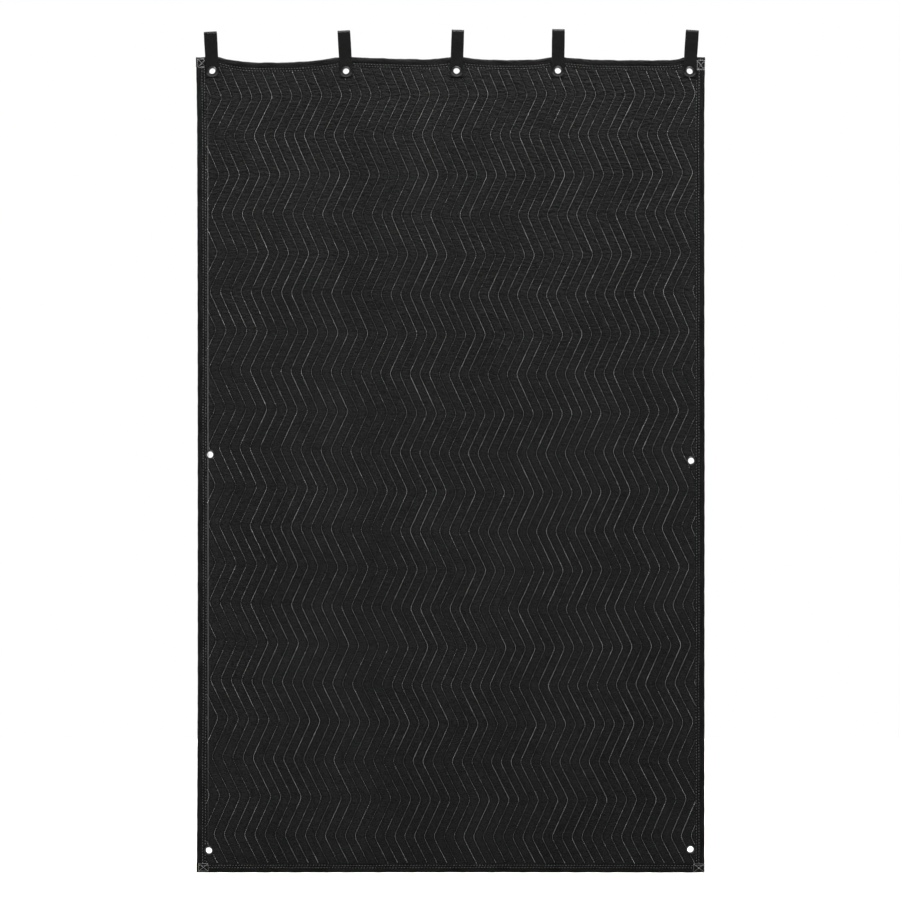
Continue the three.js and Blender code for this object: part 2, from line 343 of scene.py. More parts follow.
class Graph:
    """A material's nodes, laid out in a few calls."""

    def __init__(self, name: str) -> None:
        """Starts a material with its shader and output.

        Args:
            name: the material's name.
        """
        self.material = bpy.data.materials.new(name)
        self.material.use_nodes = True
        self.nodes = self.material.node_tree.nodes
        self.links = self.material.node_tree.links
        self.shader = self.nodes["Principled BSDF"]

    def add(
        self, kind: str, links: dict[str, Socket] | None = None, **values: object
    ) -> bpy.types.Node:
        """Adds a node.

        Args:
            kind: the node's type without its ShaderNode prefix.
            links: what feeds each of its inputs, by the input's name.
            values: its own settings in lower case, and its inputs by name with underscores for spaces.

        Returns:
            The node.
        """
        node = self.nodes.new("ShaderNode" + kind)
        for key, value in values.items():
            if hasattr(node, key):
                setattr(node, key, value)
            else:
                node.inputs[key.replace("_", " ")].default_value = value
        for socket, source in (links or {}).items():
            self.links.new(source, node.inputs[socket])
        return node

    def straight(self) -> Socket:
        """Each point's place in metres along the piece's own axes."""
        return self.add("TexCoord").outputs["Object"]

    def along(self) -> Socket:
        """The piece's own UV map, in metres along and across its cloth."""
        return self.add("UVMap", uv_map=UV_MAP).outputs["UV"]

    def part(self, source: Socket, axis: str) -> Socket:
        """One of a vector's three numbers."""
        return self.add("SeparateXYZ", {"Vector": source}).outputs[axis]

    def feed(self, name: str, source: Socket) -> None:
        """Joins a socket to one of the shader's inputs."""
        self.links.new(source, self.shader.inputs[name])

    def ramp(self, source: Socket, low: float, high: float) -> Socket:
        """What part of the way from low to high a value is, held between 0 and 1."""
        node = self.add("MapRange", {"Value": source}, From_Min=low, From_Max=high)
        return node.outputs["Result"]

    def blend(self, factor: Socket, dark: Triple, light: Triple) -> Socket:
        """A colour between two, by a factor.

        Args:
            factor: 0 gives dark, 1 gives light.
            dark: the first colour.
            light: the second.

        Returns:
            The colour's socket.
        """
        node = self.nodes.new("ShaderNodeMix")
        node.data_type = "RGBA"
        sockets = {s.identifier: s for s in node.inputs}
        sockets["A_Color"].default_value = (*dark, 1.0)
        sockets["B_Color"].default_value = (*light, 1.0)
        self.links.new(factor, sockets["Factor_Float"])
        return next(s for s in node.outputs if s.identifier == "Result_Color")

    def tint(self, factor: Socket, under: Socket, over: Triple) -> Socket:
        """Lays an even colour over another by a factor.

        Args:
            factor: 0 leaves the colour under it.
            under: that colour.
            over: the one laid over it.

        Returns:
            The colour's socket.
        """
        result = self.blend(factor, over, over)
        self.links.new(under, next(s for s in result.node.inputs if s.identifier == "A_Color"))
        return result

    def noise(self, place: Socket, size: Triple, detail: float = 2.0) -> Socket:
        """A noise whose features are about size across along each axis.

        Args:
            place: the coordinates it reads.
            size: in metres along X, Y and Z.
            detail: finer layers added to it.

        Returns:
            The noise, about 0.3 to 0.7.
        """
        scale = tuple(1.0 / s for s in size)
        mapping = self.add("Mapping", {"Vector": place}, Scale=scale)
        node = self.add("TexNoise", {"Vector": mapping.outputs["Vector"]}, Scale=1.0, Detail=detail)
        return node.outputs["Factor" if "Factor" in node.outputs else "Fac"]

    def maths(self, operation: str, first: Socket, second: Socket | float) -> Socket:
        """Two numbers put together.

        Args:
            operation: its name in capitals, such as MULTIPLY.
            first: the first number.
            second: the other, a socket or a plain value.

        Returns:
            The result's socket.
        """
        node = self.add("Math", {}, operation=operation)
        self.links.new(first, node.inputs[0])
        if isinstance(second, float):
            node.inputs[1].default_value = second
        else:
            self.links.new(second, node.inputs[1])
        return node.outputs[0]

    def bands(self, place: Socket, direction: str, pitch: float) -> Socket:
        """Smooth bands across one axis: a sine, 0 to 1, that comes round once in each pitch.

        Args:
            place: the coordinates it reads.
            direction: the axis that the bands follow each other along, X, Y or Z.
            pitch: from one band to the next, in metres.

        Returns:
            The sine's socket.
        """
        scale = 2.0 * math.pi / (20.0 * pitch)
        node = self.add("TexWave", {"Vector": place}, bands_direction=direction, Scale=scale, Distortion=0.0)
        return node.outputs["Factor" if "Factor" in node.outputs else "Fac"]

    def bump(self, height: Socket, depth: float, under: Socket | None = None) -> Socket:
        """Adds relief to the surface's normal.

        Args:
            height: 0 to 1.
            depth: how deep 1 stands over 0, in metres.
            under: a coarser relief that this one lies on.

        Returns:
            The normal.
        """
        links = {"Height": height}
        if under is not None:
            links["Normal"] = under
        return self.add("Bump", links, Strength=1.0, Distance=depth).outputs["Normal"]

    def finish(self, roughness: float, specular: float, sheen: float = 0.0) -> None:
        """Sets what is even all over the surface on the shader's own sockets.

        Args:
            roughness: of the surface.
            specular: the shader's specular level.
            sheen: weight of the soft light at a grazing angle that fibres give.
        """
        self.shader.inputs["Roughness"].default_value = roughness
        self.shader.inputs["Specular IOR Level"].default_value = specular
        self.shader.inputs["Metallic"].default_value = 0.0
        self.shader.inputs["Sheen Weight"].default_value = sheen
        self.shader.inputs["Sheen Roughness"].default_value = 0.5


@dataclass(frozen=True)
class QuiltedCloth:
    """Matt black plain weave over wadding, drawn into small puckers between the quilting lines."""

    dark: Triple = (0.0006, 0.0006, 0.0006)
    light: Triple = (0.0124, 0.0124, 0.0123)
    # Colour of the painted shade laid on the creases beside the quilting lines.
    painted_crease_shade: Triple = (0.0020, 0.0020, 0.0020)
    tones: Pair = (0.44, 0.70)
    grain: Triple = (0.0028, 0.0028, 0.0024)
    slub: Triple = (0.0110, 0.0110, 0.0017)
    cloud: Triple = (0.22, 0.22, 0.35)
    weights: Triple = (0.6, 0.4, 0.12)
    pitch: float = 0.0292
    # Distances from a quilting line: the painted crease shade is full within the second and gone beyond the
    # first.
    crease: Pair = (0.0062, 0.0024)
    yarn: float = 0.0011
    yarn_depth: float = 0.0005
    swell: Triple = (0.035, 0.035, 0.028)
    swell_depth: float = 0.0060
    pucker: Triple = (0.021, 0.0075, 1.0)
    pucker_depth: float = 0.0085
    pucker_grows: Pair = (-1.5, -0.2)
    pucker_least: float = 0.45

    def build(self) -> bpy.types.Material:
        """The weave follows the cloth's own straight threads, and the puckers its quilting.

        The tone is the weighted sum of grain, slubs and clouds. Beside a quilting line it is tinted darker,
        a painted shade for the crease there, and the puckers grow deeper towards the top.

        Returns:
            The finish.
        """
        graph = Graph(Slot.CLOTH.value)
        straight, quilted = graph.straight(), graph.along()
        grain = graph.maths("MULTIPLY", graph.noise(straight, self.grain, 1.0), self.weights[0])
        slubs = graph.maths("MULTIPLY", graph.noise(straight, self.slub, 1.0), self.weights[1])
        clouds = graph.maths("MULTIPLY", graph.noise(straight, self.cloud), self.weights[2])
        tone = graph.maths("ADD", graph.maths("ADD", grain, slubs), clouds)
        colour = graph.blend(graph.ramp(tone, *self.tones), self.dark, self.light)
        # Painted shade: near each quilting line the colour is tinted darker, standing in for the shade in the
        # pinched crease.
        between = graph.maths("PINGPONG", graph.part(quilted, "X"), self.pitch / 2.0)
        graph.feed("Base Color", graph.tint(graph.ramp(between, *self.crease), colour, self.painted_crease_shade))
        higher = graph.ramp(graph.part(quilted, "Y"), *self.pucker_grows)
        deeper = graph.maths("ADD", higher, self.pucker_least)
        puckers = graph.maths("MULTIPLY", graph.noise(quilted, self.pucker, 1.5), deeper)
        weft = graph.bands(straight, "Z", self.yarn)
        weave = graph.maths("MULTIPLY", graph.bands(straight, "X", self.yarn), weft)
        relief = graph.bump(graph.noise(straight, self.swell, 1.0), self.swell_depth)
        relief = graph.bump(puckers, self.pucker_depth, relief)
        graph.feed("Normal", graph.bump(weave, self.yarn_depth, relief))
        graph.finish(roughness=0.92, specular=0.08, sheen=0.02)
        return graph.material


@dataclass(frozen=True)
class BindingTape:
    """Close, smooth black tape with a faint sheen."""

    dark: Triple = (0.0018, 0.0018, 0.0018)
    light: Triple = (0.0072, 0.0072, 0.0071)
    tones: Pair = (0.35, 0.7)
    streak: Triple = (0.05, 0.006, 1.0)
    crease: Triple = (0.012, 0.007, 1.0)
    crease_depth: float = 0.0040
    rib: float = 0.0009
    rib_depth: float = 0.0003

    def build(self) -> bpy.types.Material:
        """Fine ribs both ways, and creases where the tape was folded and drawn in by its stitches.

        Returns:
            The finish.
        """
        graph = Graph(Slot.BINDING.value)
        straight, along = graph.straight(), graph.along()
        tone = graph.ramp(graph.noise(along, self.streak), *self.tones)
        graph.feed("Base Color", graph.blend(tone, self.dark, self.light))
        weft = graph.bands(straight, "Z", self.rib)
        ribs = graph.maths("MULTIPLY", graph.bands(straight, "X", self.rib), weft)
        relief = graph.bump(graph.noise(along, self.crease, 1.5), self.crease_depth)
        graph.feed("Normal", graph.bump(ribs, self.rib_depth, relief))
        graph.finish(roughness=0.75, specular=0.05)
        return graph.material


@dataclass(frozen=True)
class Webbing:
    """Black webbing with fine upright ribs, crossed by its weft, and a painted highlight below its eyelet."""

    dark: Triple = (0.0018, 0.0018, 0.0018)
    light: Triple = (0.0064, 0.0064, 0.0063)
    # Painted highlight: the lighter colour of the crescent below the eyelet.
    painted_highlight: Triple = (0.027, 0.027, 0.027)
    tones: Pair = (0.35, 0.95)
    streak: Triple = (0.003, 0.012, 1.0)
    rib: float = 0.0026
    rib_depth: float = 0.0009
    rib_tone: float = 0.4
    weft: float = 0.0014
    weft_depth: float = 0.0004
    eyelet_at: float = 0.0188
    ring_starts: Pair = (0.0134, 0.0150)
    ring_ends: Pair = (0.0195, 0.0178)
    ring_below: Pair = (-0.0030, -0.0085)

    def build(self) -> bpy.types.Material:
        """Ribs run along the strap's own U, and the weft crosses them along its V.

        The painted highlight is a crescent: a ring round the eyelet times a ramp that leaves only its lower
        side, where the webbing's dish round the flange faces up into the light.

        Returns:
            The finish.
        """
        graph = Graph(Slot.WEBBING.value)
        along = graph.along()
        ribs, weft = graph.bands(along, "X", self.rib), graph.bands(along, "Y", self.weft)
        ribbed = graph.maths("MULTIPLY", ribs, self.rib_tone)
        tone = graph.maths("ADD", ribbed, graph.noise(along, self.streak))
        colour = graph.blend(graph.ramp(tone, *self.tones), self.dark, self.light)
        shift = (0.0, -self.eyelet_at, 0.0)
        moved = graph.add("Mapping", {"Vector": along}, Location=shift).outputs["Vector"]
        away = graph.add("VectorMath", {"Vector": moved}, operation="LENGTH").outputs["Value"]
        below = graph.ramp(graph.part(moved, "Y"), *self.ring_below)
        ring = graph.maths("MULTIPLY", graph.ramp(away, *self.ring_starts), below)
        ring = graph.maths("MULTIPLY", ring, graph.ramp(away, *self.ring_ends))
        # Painted highlight: the crescent under the eyelet stands in for light caught by the dish's lower slope.
        graph.feed("Base Color", graph.tint(ring, colour, self.painted_highlight))
        relief = graph.bump(ribs, self.rib_depth)
        graph.feed("Normal", graph.bump(weft, self.weft_depth, relief))
        graph.finish(roughness=0.75, specular=0.05)
        return graph.material


@dataclass(frozen=True)
class Lacquer:
    """Gloss black lacquer on the eyelets, a little dulled by handling."""

    colour: Triple = (0.004, 0.004, 0.0045)
    worn: Triple = (0.012, 0.012, 0.0125)
    worn_from: Pair = (0.5, 0.75)
    patch: Triple = (0.0022, 0.0022, 0.0022)
    patch_depth: float = 0.00002
    smoothest: float = 0.26
    roughest: float = 0.42

    def build(self) -> bpy.types.Material:
        """An even coat whose roughness and colour shift a little in patches of a millimetre or two.

        Returns:
            The finish.
        """
        graph = Graph(Slot.EYELET.value)
        patch = graph.noise(graph.straight(), self.patch, 3.0)
        graph.feed("Base Color", graph.blend(graph.ramp(patch, *self.worn_from), self.colour, self.worn))
        graph.finish(roughness=0.32, specular=0.3)
        span = {"From_Min": 0.3, "From_Max": 0.7, "To_Min": self.smoothest, "To_Max": self.roughest}
        graph.feed("Roughness", graph.add("MapRange", {"Value": patch}, **span).outputs["Result"])
        graph.feed("Normal", graph.bump(patch, self.patch_depth))
        return graph.material


@dataclass(frozen=True)
class SewingThread:
    """Light grey sewing thread whose stitches differ in lightness at random, partly painted shade where it dips
    into the cloth.
    """

    name: str = "sewing_thread"
    dark: Triple = (0.020, 0.020, 0.020)
    light: Triple = (0.82, 0.82, 0.81)
    lint: Triple = (0.0016, 0.0016, 0.0016)
    lint_depth: float = 0.0001

    def build(self) -> bpy.types.Material:
        """Each stitch has its own shade, kept in the mesh, and a little lint.

        Returns:
            The finish.
        """
        graph = Graph(self.name)
        shade = graph.add("Attribute", attribute_name=SHADE, attribute_type="GEOMETRY").outputs["Fac"]
        lint = graph.noise(graph.straight(), self.lint)
        tone = graph.maths("MULTIPLY", shade, graph.maths("ADD", lint, 0.5))
        graph.feed("Base Color", graph.blend(tone, self.dark, self.light))
        graph.feed("Normal", graph.bump(lint, self.lint_depth))
        graph.finish(roughness=0.6, specular=0.25)
        return graph.material


@dataclass(frozen=True)
class FloorPaint:
    """Plain pale studio floor."""

    colour: Triple = (0.50, 0.50, 0.50)
    glow: float = 0.64

    def build(self) -> bpy.types.Material:
        """One even matt colour, lifted to the white of the room where it is seen directly.

        Returns:
            The finish.
        """
        graph = Graph("floor")
        graph.shader.inputs["Base Color"].default_value = (*self.colour, 1.0)
        graph.shader.inputs["Emission Color"].default_value = WHITE
        direct = graph.add("LightPath").outputs["Is Camera Ray"]
        graph.feed("Emission Strength", graph.maths("MULTIPLY", direct, self.glow))
        graph.finish(roughness=0.9, specular=0.2)
        return graph.material


class Workshop:
    """Puts finished shapes into the scene: their meshes, finishes, slots and what they stand for."""

    def __init__(self) -> None:
        """Builds every finish once."""
        self.finishes = {
            Slot.CLOTH: QuiltedCloth().build(),
            Slot.BINDING: BindingTape().build(),
            Slot.WEBBING: Webbing().build(),
            Slot.EYELET: Lacquer().build(),
        }
        self.thread = SewingThread().build()

    def piece(
        self, name: str, shape: Shape, slot: Slot, stands_for: tuple[str, ...] = (), thread: bool = False
    ) -> bpy.types.Object:
        """Makes a piece of the curtain from a shape.

        Args:
            name: the piece's name.
            shape: its points and faces.
            slot: the material slot that it takes its finish from.
            stands_for: the frame's nodes that it replaces.
            thread: whether it is sewing thread, which has a finish of its own.

        Returns:
            The object, riding on the body.
        """
        mesh = bpy.data.meshes.new(name)
        faces = [face for block in shape.faces for face in block.tolist()]
        mesh.from_pydata(shape.points.tolist(), [], faces)
        mesh.polygons.foreach_set("use_smooth", np.ones(len(mesh.polygons), bool))
        if shape.uv is not None:
            corner = np.empty(len(mesh.loops), np.int32)
            mesh.loops.foreach_get("vertex_index", corner)
            layer = mesh.uv_layers.new(name=UV_MAP)
            layer.data.foreach_set("uv", shape.uv[corner].astype(np.float32).ravel())
        if shape.shade is not None:
            shades = mesh.attributes.new(SHADE, "FLOAT", "POINT")
            shades.data.foreach_set("value", shape.shade.astype(np.float32))
        mesh.update()
        mesh.materials.append(self.thread if thread else self.finishes[slot])
        item = placed(name, mesh)
        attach(item, BODY)
        if stands_for:
            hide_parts(*stands_for)
        LOG.info("%s: %d points, %d faces", name, len(mesh.vertices), len(mesh.polygons))
        return item


@dataclass(frozen=True)
class Scallop:
    """A stretch of the top edge that sags between two loops.

    The sag, lowest and power of the four wide stretches come from a search that matched them to the real edge.
    """

    start: float
    end: float
    sag: float
    lowest: float
    power: float = 3.0


@dataclass(frozen=True)
class EdgePoint:
    """How far the two upright edges stand from the middle line at one height."""

    z: float
    left: float
    right: float


@dataclass(frozen=True)
class Outline:
    """The outline of the hung cloth. Its top edge is that of the part's source to within 6 mm."""

    corner_z: float = -0.0827
    bottom_z: float = -2.529
    edges: tuple[EdgePoint, ...] = (
        EdgePoint(-0.084, -0.7644, 0.7623),
        EdgePoint(-0.270, -0.7614, 0.7604),
        EdgePoint(-0.820, -0.7602, 0.7608),
        EdgePoint(-1.350, -0.7596, 0.7616),
        EdgePoint(-2.000, -0.7596, 0.7608),
        EdgePoint(-2.529, -0.7627, 0.7608),
    )
    scallops: tuple[Scallop, ...] = (
        Scallop(-0.765, -0.735, 0.0005, 0.50),
        Scallop(-0.695, -0.334, 0.01625, 0.40, 2.5),
        Scallop(-0.296, 0.000, 0.0065, 0.76, 1.5),
        Scallop(0.036, 0.303, 0.0085, 0.56),
        Scallop(0.340, 0.698, 0.0093, 0.78, 4.0),
    )

    def side(self, z: np.ndarray, side: Side) -> np.ndarray:
        """An upright edge, in straight stretches between the points of edges.

        Args:
            z: the height.
            side: the left or the right edge.

        Returns:
            Where the edge is across.
        """
        heights = [-row.z for row in self.edges]
        places = [row.left if side is Side.LEFT else row.right for row in self.edges]
        return np.interp(-np.asarray(z, float), heights, places)

    def top(self, x: np.ndarray) -> np.ndarray:
        """The top edge: level at the loops, and between them lowered by the sag times 1 - away to its power.

        away is 0 where the stretch is lowest and 1 at both its ends.

        Args:
            x: the place across.

        Returns:
            The edge's height.
        """
        x = np.asarray(x, float)
        z = np.full(x.shape, self.corner_z)
        for s in self.scallops:
            t = (x - s.start) / (s.end - s.start)
            away = np.where(t < s.lowest, 1.0 - t / s.lowest, (t - s.lowest) / (1.0 - s.lowest))
            sagging = self.corner_z - s.sag * (1.0 - np.clip(away, 0.0, 1.0) ** s.power)
            z = np.where((t > 0.0) & (t < 1.0), sagging, z)
        return z

    def inset(self, x: np.ndarray, z: np.ndarray) -> np.ndarray:
        """How far inside the nearest edge a place is."""
        across = np.minimum(x - self.side(z, Side.LEFT), self.side(z, Side.RIGHT) - x)
        return np.minimum(across, np.minimum(self.top(x) - z, z - self.bottom_z))


@dataclass(frozen=True)
class Drift:
    """One term of the quilting's slow drift: how far it moves the lines right and up, in metres.

    Its weight at u, the share of the half spread, and v, the share of the half height, is u^i times v^j. The
    terms are not hand-chosen: a search found them, in steps of 0.25 mm, that matched the lines to the real ones.
    """

    i: int
    j: int
    right: float
    up: float


@dataclass(frozen=True)
class Quilting:
    """The upright zigzag lines, numbered from the middle one, and their turning rows, numbered down."""

    pitch: float = 0.0292
    middle_x: float = -0.011
    half_spread: float = 26.0
    bow: float = 0.015
    lean: float = -0.013
    fan: float = 0.010
    first_turn_z: float = -0.3153
    turn_step: float = 0.1169
    loosen: float = 0.000265
    turns: int = 19
    turn_bow: float = 0.007
    reach: float = 0.0272
    rounding: float = 0.1
    middle_z: float = -1.308
    half_height: float = 1.2
    first_line: int = -26
    last_line: int = 28
    drift: tuple[Drift, ...] = (
        Drift(0, 0, 0.00125, 0.00100),
        Drift(0, 1, -0.00275, 0.00400),
        Drift(0, 2, -0.00125, -0.00350),
        Drift(0, 3, -0.00025, -0.00425),
        Drift(1, 0, 0.00050, -0.01050),
        Drift(1, 1, -0.00200, 0.00550),
        Drift(1, 2, -0.00600, 0.00925),
        Drift(1, 3, -0.00300, -0.00175),
        Drift(2, 0, -0.00225, 0.01275),
        Drift(2, 1, 0.00175, -0.00625),
        Drift(2, 2, 0.01325, -0.02250),
        Drift(3, 0, -0.00225, 0.00600),
        Drift(3, 1, 0.00150, 0.00275),
    )

    def turn_z(self, row: np.ndarray) -> np.ndarray:
        """Height of a turning row on the middle line: even steps that grow a little towards the top."""
        down = row - 1.0
        return self.first_turn_z - down * self.turn_step - self.loosen * down * (self.turns - row)

    def row_at(self, line: np.ndarray, z: np.ndarray) -> np.ndarray:
        """The turning row at a height: turn_z solved for its row, with the rows higher at the sides.

        Args:
            line: the line's number.
            z: the height.

        Returns:
            The row's number, whole or between two.
        """
        down = self.first_turn_z + self.turn_bow * (line / self.half_spread) ** 2 - z
        step = self.turn_step + self.loosen * (self.turns - 1)
        return 1.0 + (step - np.sqrt(step**2 - 4.0 * self.loosen * down)) / (2.0 * self.loosen)

    def swing(self, line: np.ndarray, z: np.ndarray) -> np.ndarray:
        """The zigzag, from -1 at one row to 1 at the next: straight legs whose corners are short parabolas.

        Args:
            line: the line's number.
            z: the height.

        Returns:
            How far the line swings out, from -1 to 1.
        """
        away = np.abs(np.mod(self.row_at(line, z), 2.0) - 1.0)
        short = np.minimum(away, 1.0 - away)
        parabola = short**2 / (2.0 * self.rounding) + self.rounding / 2.0
        eased = np.where(short < self.rounding, parabola, short)
        return 2.0 * np.where(away < 0.5, eased, 1.0 - eased) - 1.0

    def x(self, line: np.ndarray, z: np.ndarray) -> np.ndarray:
        """Where a line runs: its even place, leaning, bowed and fanned out a little, and the zigzag.

        Args:
            line: the line's number, whole or between two.
            z: the height.

        Returns:
            The place across, moved by the drift.
        """
        u = line / self.half_spread
        v = (z - self.middle_z) / self.half_height
        right = sum(term.right * u**term.i * v**term.j for term in self.drift)
        up = sum(term.up * u**term.i * v**term.j for term in self.drift)
        v = (z - up - self.middle_z) / self.half_height
        place = self.middle_x + self.pitch * line + self.lean * u**2 * (1.0 - u)
        return place + (self.bow + self.fan * u) * v**2 + self.reach * self.swing(line, z - up) + right


@dataclass(frozen=True)
class Fitting:
    """An eyelet's place. One that goes through a loop also gives the loop's crown and its lean."""

    name: str
    x: float
    z: float
    crown: float | None = None
    lean: float = 0.0


# The height of each loop's crown in the frame, and how far the loop leans to the left, in degrees.
LOOPS: dict[str, Pair] = {
    "tab_1": (-0.0074, 3.0),
    "tab_2": (-0.0039, 3.2),
    "tab_3": (-0.0018, -1.9),
    "tab_4": (0.0, -0.8),
    "tab_5": (-0.0024, -3.8),
}
PLAIN_EYELETS = ("middle_left", "middle_right", "bottom_left", "bottom_right")


def fittings() -> list[Fitting]:
    """Takes every eyelet's place from the frame.

    Returns:
        The eyelets that go through loops, and then the plain ones.
    """
    found = []
    for name in (*LOOPS, *PLAIN_EYELETS):
        low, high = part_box("eyelet_" + name)
        centre = (low + high) / 2.0
        found.append(Fitting(name, centre.x, centre.z, *LOOPS.get(name, ())))
    return found


@dataclass(frozen=True)
class Blanket:
    """The quilted cloth: two faces of plain weave sewn through their wadding."""

    outline: Outline
    quilting: Quilting
    fittings: list[Fitting]
    hem: float = 0.0020
    pinched: float = 0.0017
    crown: float = 0.0041
    uneven: float = 0.10
    rim: float = 0.0014
    squeeze_from: float = 0.025
    hole: float = 0.0109
    pressed: float = 0.0030
    roundness: float = 0.55
    patch: float = 0.06
    opens: Pair = (0.021, 0.050)
    eyelet_eases: Pair = (0.030, 0.0145)
    loop_eases: Pair = (0.030, 0.021)
    loop_ends: Pair = (0.034, 0.022)
    across: tuple[float, ...] = (0.0, 0.1, 0.34, 0.66, 0.9)
    down: tuple[float, ...] = (0.0, 0.08, 0.22, 0.40, 0.60, 0.78, 0.92)
    turning_rows: tuple[int, int] = (-2, 22)
    margin: float = 0.030
    row_gap: float = 0.0028
    edge_rows: Triple = (0.008, 0.018, 0.027)
    sag_fades: float = -0.30
    bow_below: Pair = (-0.10, -0.25)
    bow_above: Pair = (-2.51, -2.35)
    near_eyelet: tuple[float, ...] = (-0.012, -0.006, 0.0, 0.006, 0.012)

    def half_thickness(self, line: np.ndarray, x: np.ndarray, z: np.ndarray) -> np.ndarray:
        """How far each face stands from the cloth's middle.

        Between two lines the wadding stands up as a power of a sine, and it flattens under the binding, under
        a loop and round an eyelet.

        Args:
            line: the place between the quilting lines, whole on a line.
            x: the place across.
            z: the height.

        Returns:
            Half the thickness there.
        """
        puff = np.sin(np.pi * (line - np.floor(line))) ** self.roundness
        crown = self.crown * (1.0 + self.uneven * patches(x, z, self.patch, 5.0))
        full = self.pinched + (crown - self.pinched) * puff
        opened = smooth(*self.opens, self.outline.inset(x, z))
        half = self.hem + (full - self.hem) * opened
        flat = np.zeros(x.shape)
        for place in self.fittings:
            away = np.hypot(x - place.x, z - place.z)
            flat = np.maximum(flat, smooth(*self.eyelet_eases, away))
            if place.crown is not None:
                beside = smooth(*self.loop_eases, np.abs(x - place.x))
                start, end = (place.z - below for below in self.loop_ends)
                flat = np.maximum(flat, beside * smooth(start, end, z))
        return half + (self.pressed - half) * flat * opened

    def rows(self) -> np.ndarray:
        """Heights of the grid's rows on the middle line: some for each leg of the zigzag, more at eyelets.

        A row that comes close under the one above it is left out, but never the last. The loops' eyelets
        stand at nearly one height, so the rows at the last of them serve all.

        Returns:
            The heights from the top down.
        """
        top, bottom = self.outline.corner_z, self.outline.bottom_z
        turns = self.quilting.turn_z(np.arange(*self.turning_rows, dtype=float))
        legs = [a + (b - a) * share for a, b in zip(turns[:-1], turns[1:]) for share in self.down]
        inner = [z for z in legs if bottom + self.margin < z < top - self.margin]
        near = [place.z + step for place in self.fittings[len(LOOPS) - 1 :] for step in self.near_eyelet]
        edge = (self.rim, *self.edge_rows)
        ends = [top - e for e in edge] + [bottom + e for e in edge]
        wanted = np.sort(np.array(inner + near + ends))[::-1]
        apart = np.concatenate([[True], -np.diff(wanted) > self.row_gap])
        apart[-1] = True
        return wanted[apart]

    def grid(self) -> tuple[np.ndarray, np.ndarray, np.ndarray]:
        """The cloth's grid: its columns follow the quilting lines, and its rows the top edge and the turns.

        Under the side bindings the columns crowd together, so that the outermost one runs along the rim: a
        place d beyond where they start to moves to w(1 - exp(-d/w)), with w the room up to the rim.

        Returns:
            The line number, x and z of each point.
        """
        q = self.quilting
        columns = [k + share for k in range(q.first_line, q.last_line) for share in self.across]
        line, nominal = np.meshgrid(np.array([*columns, q.last_line]), self.rows())
        corner = self.outline.edges[0]
        even = np.clip(q.middle_x + q.pitch * line, corner.left, corner.right)
        top = self.outline.corner_z
        sag = (self.outline.top(even) - top) * smooth(self.sag_fades, top, nominal)
        bow = q.turn_bow * (line / q.half_spread) ** 2
        z = nominal + sag + bow * smooth(*self.bow_below, nominal) * smooth(*self.bow_above, nominal)
        x = q.x(line, z)
        for side in Side:
            edge = self.outline.side(z, side)
            room = self.squeeze_from - self.rim
            beyond = np.maximum(side.value * (edge - x) + self.squeeze_from, 0.0)
            held = edge + side.value * (self.squeeze_from - room * (1.0 - np.exp(-beyond / room)))
            x = np.where(beyond > 0.0, held, x)
            column = 0 if side is Side.LEFT else -1
            x[:, column] = edge[:, column] + side.value * self.rim
        return line, x, z

    def shape(self) -> Shape:
        """The closed sheet, with its eyelets' holes.

        Returns:
            The cloth. Its UV is the way across the quilting lines at their even pitch, and the height.
        """
        line, x, z = self.grid()
        half = self.half_thickness(line, x, z)
        middle = hang(x, z)
        front = np.stack([x, middle - half, z], axis=-1)
        back = np.stack([x, middle + half, z], axis=-1)
        keep = open_holes(front, back, [(f.x, f.z) for f in self.fittings], self.hole)
        uv = np.stack([line * self.quilting.pitch, z], axis=-1)
        return closed_sheet(front, back, keep, uv)


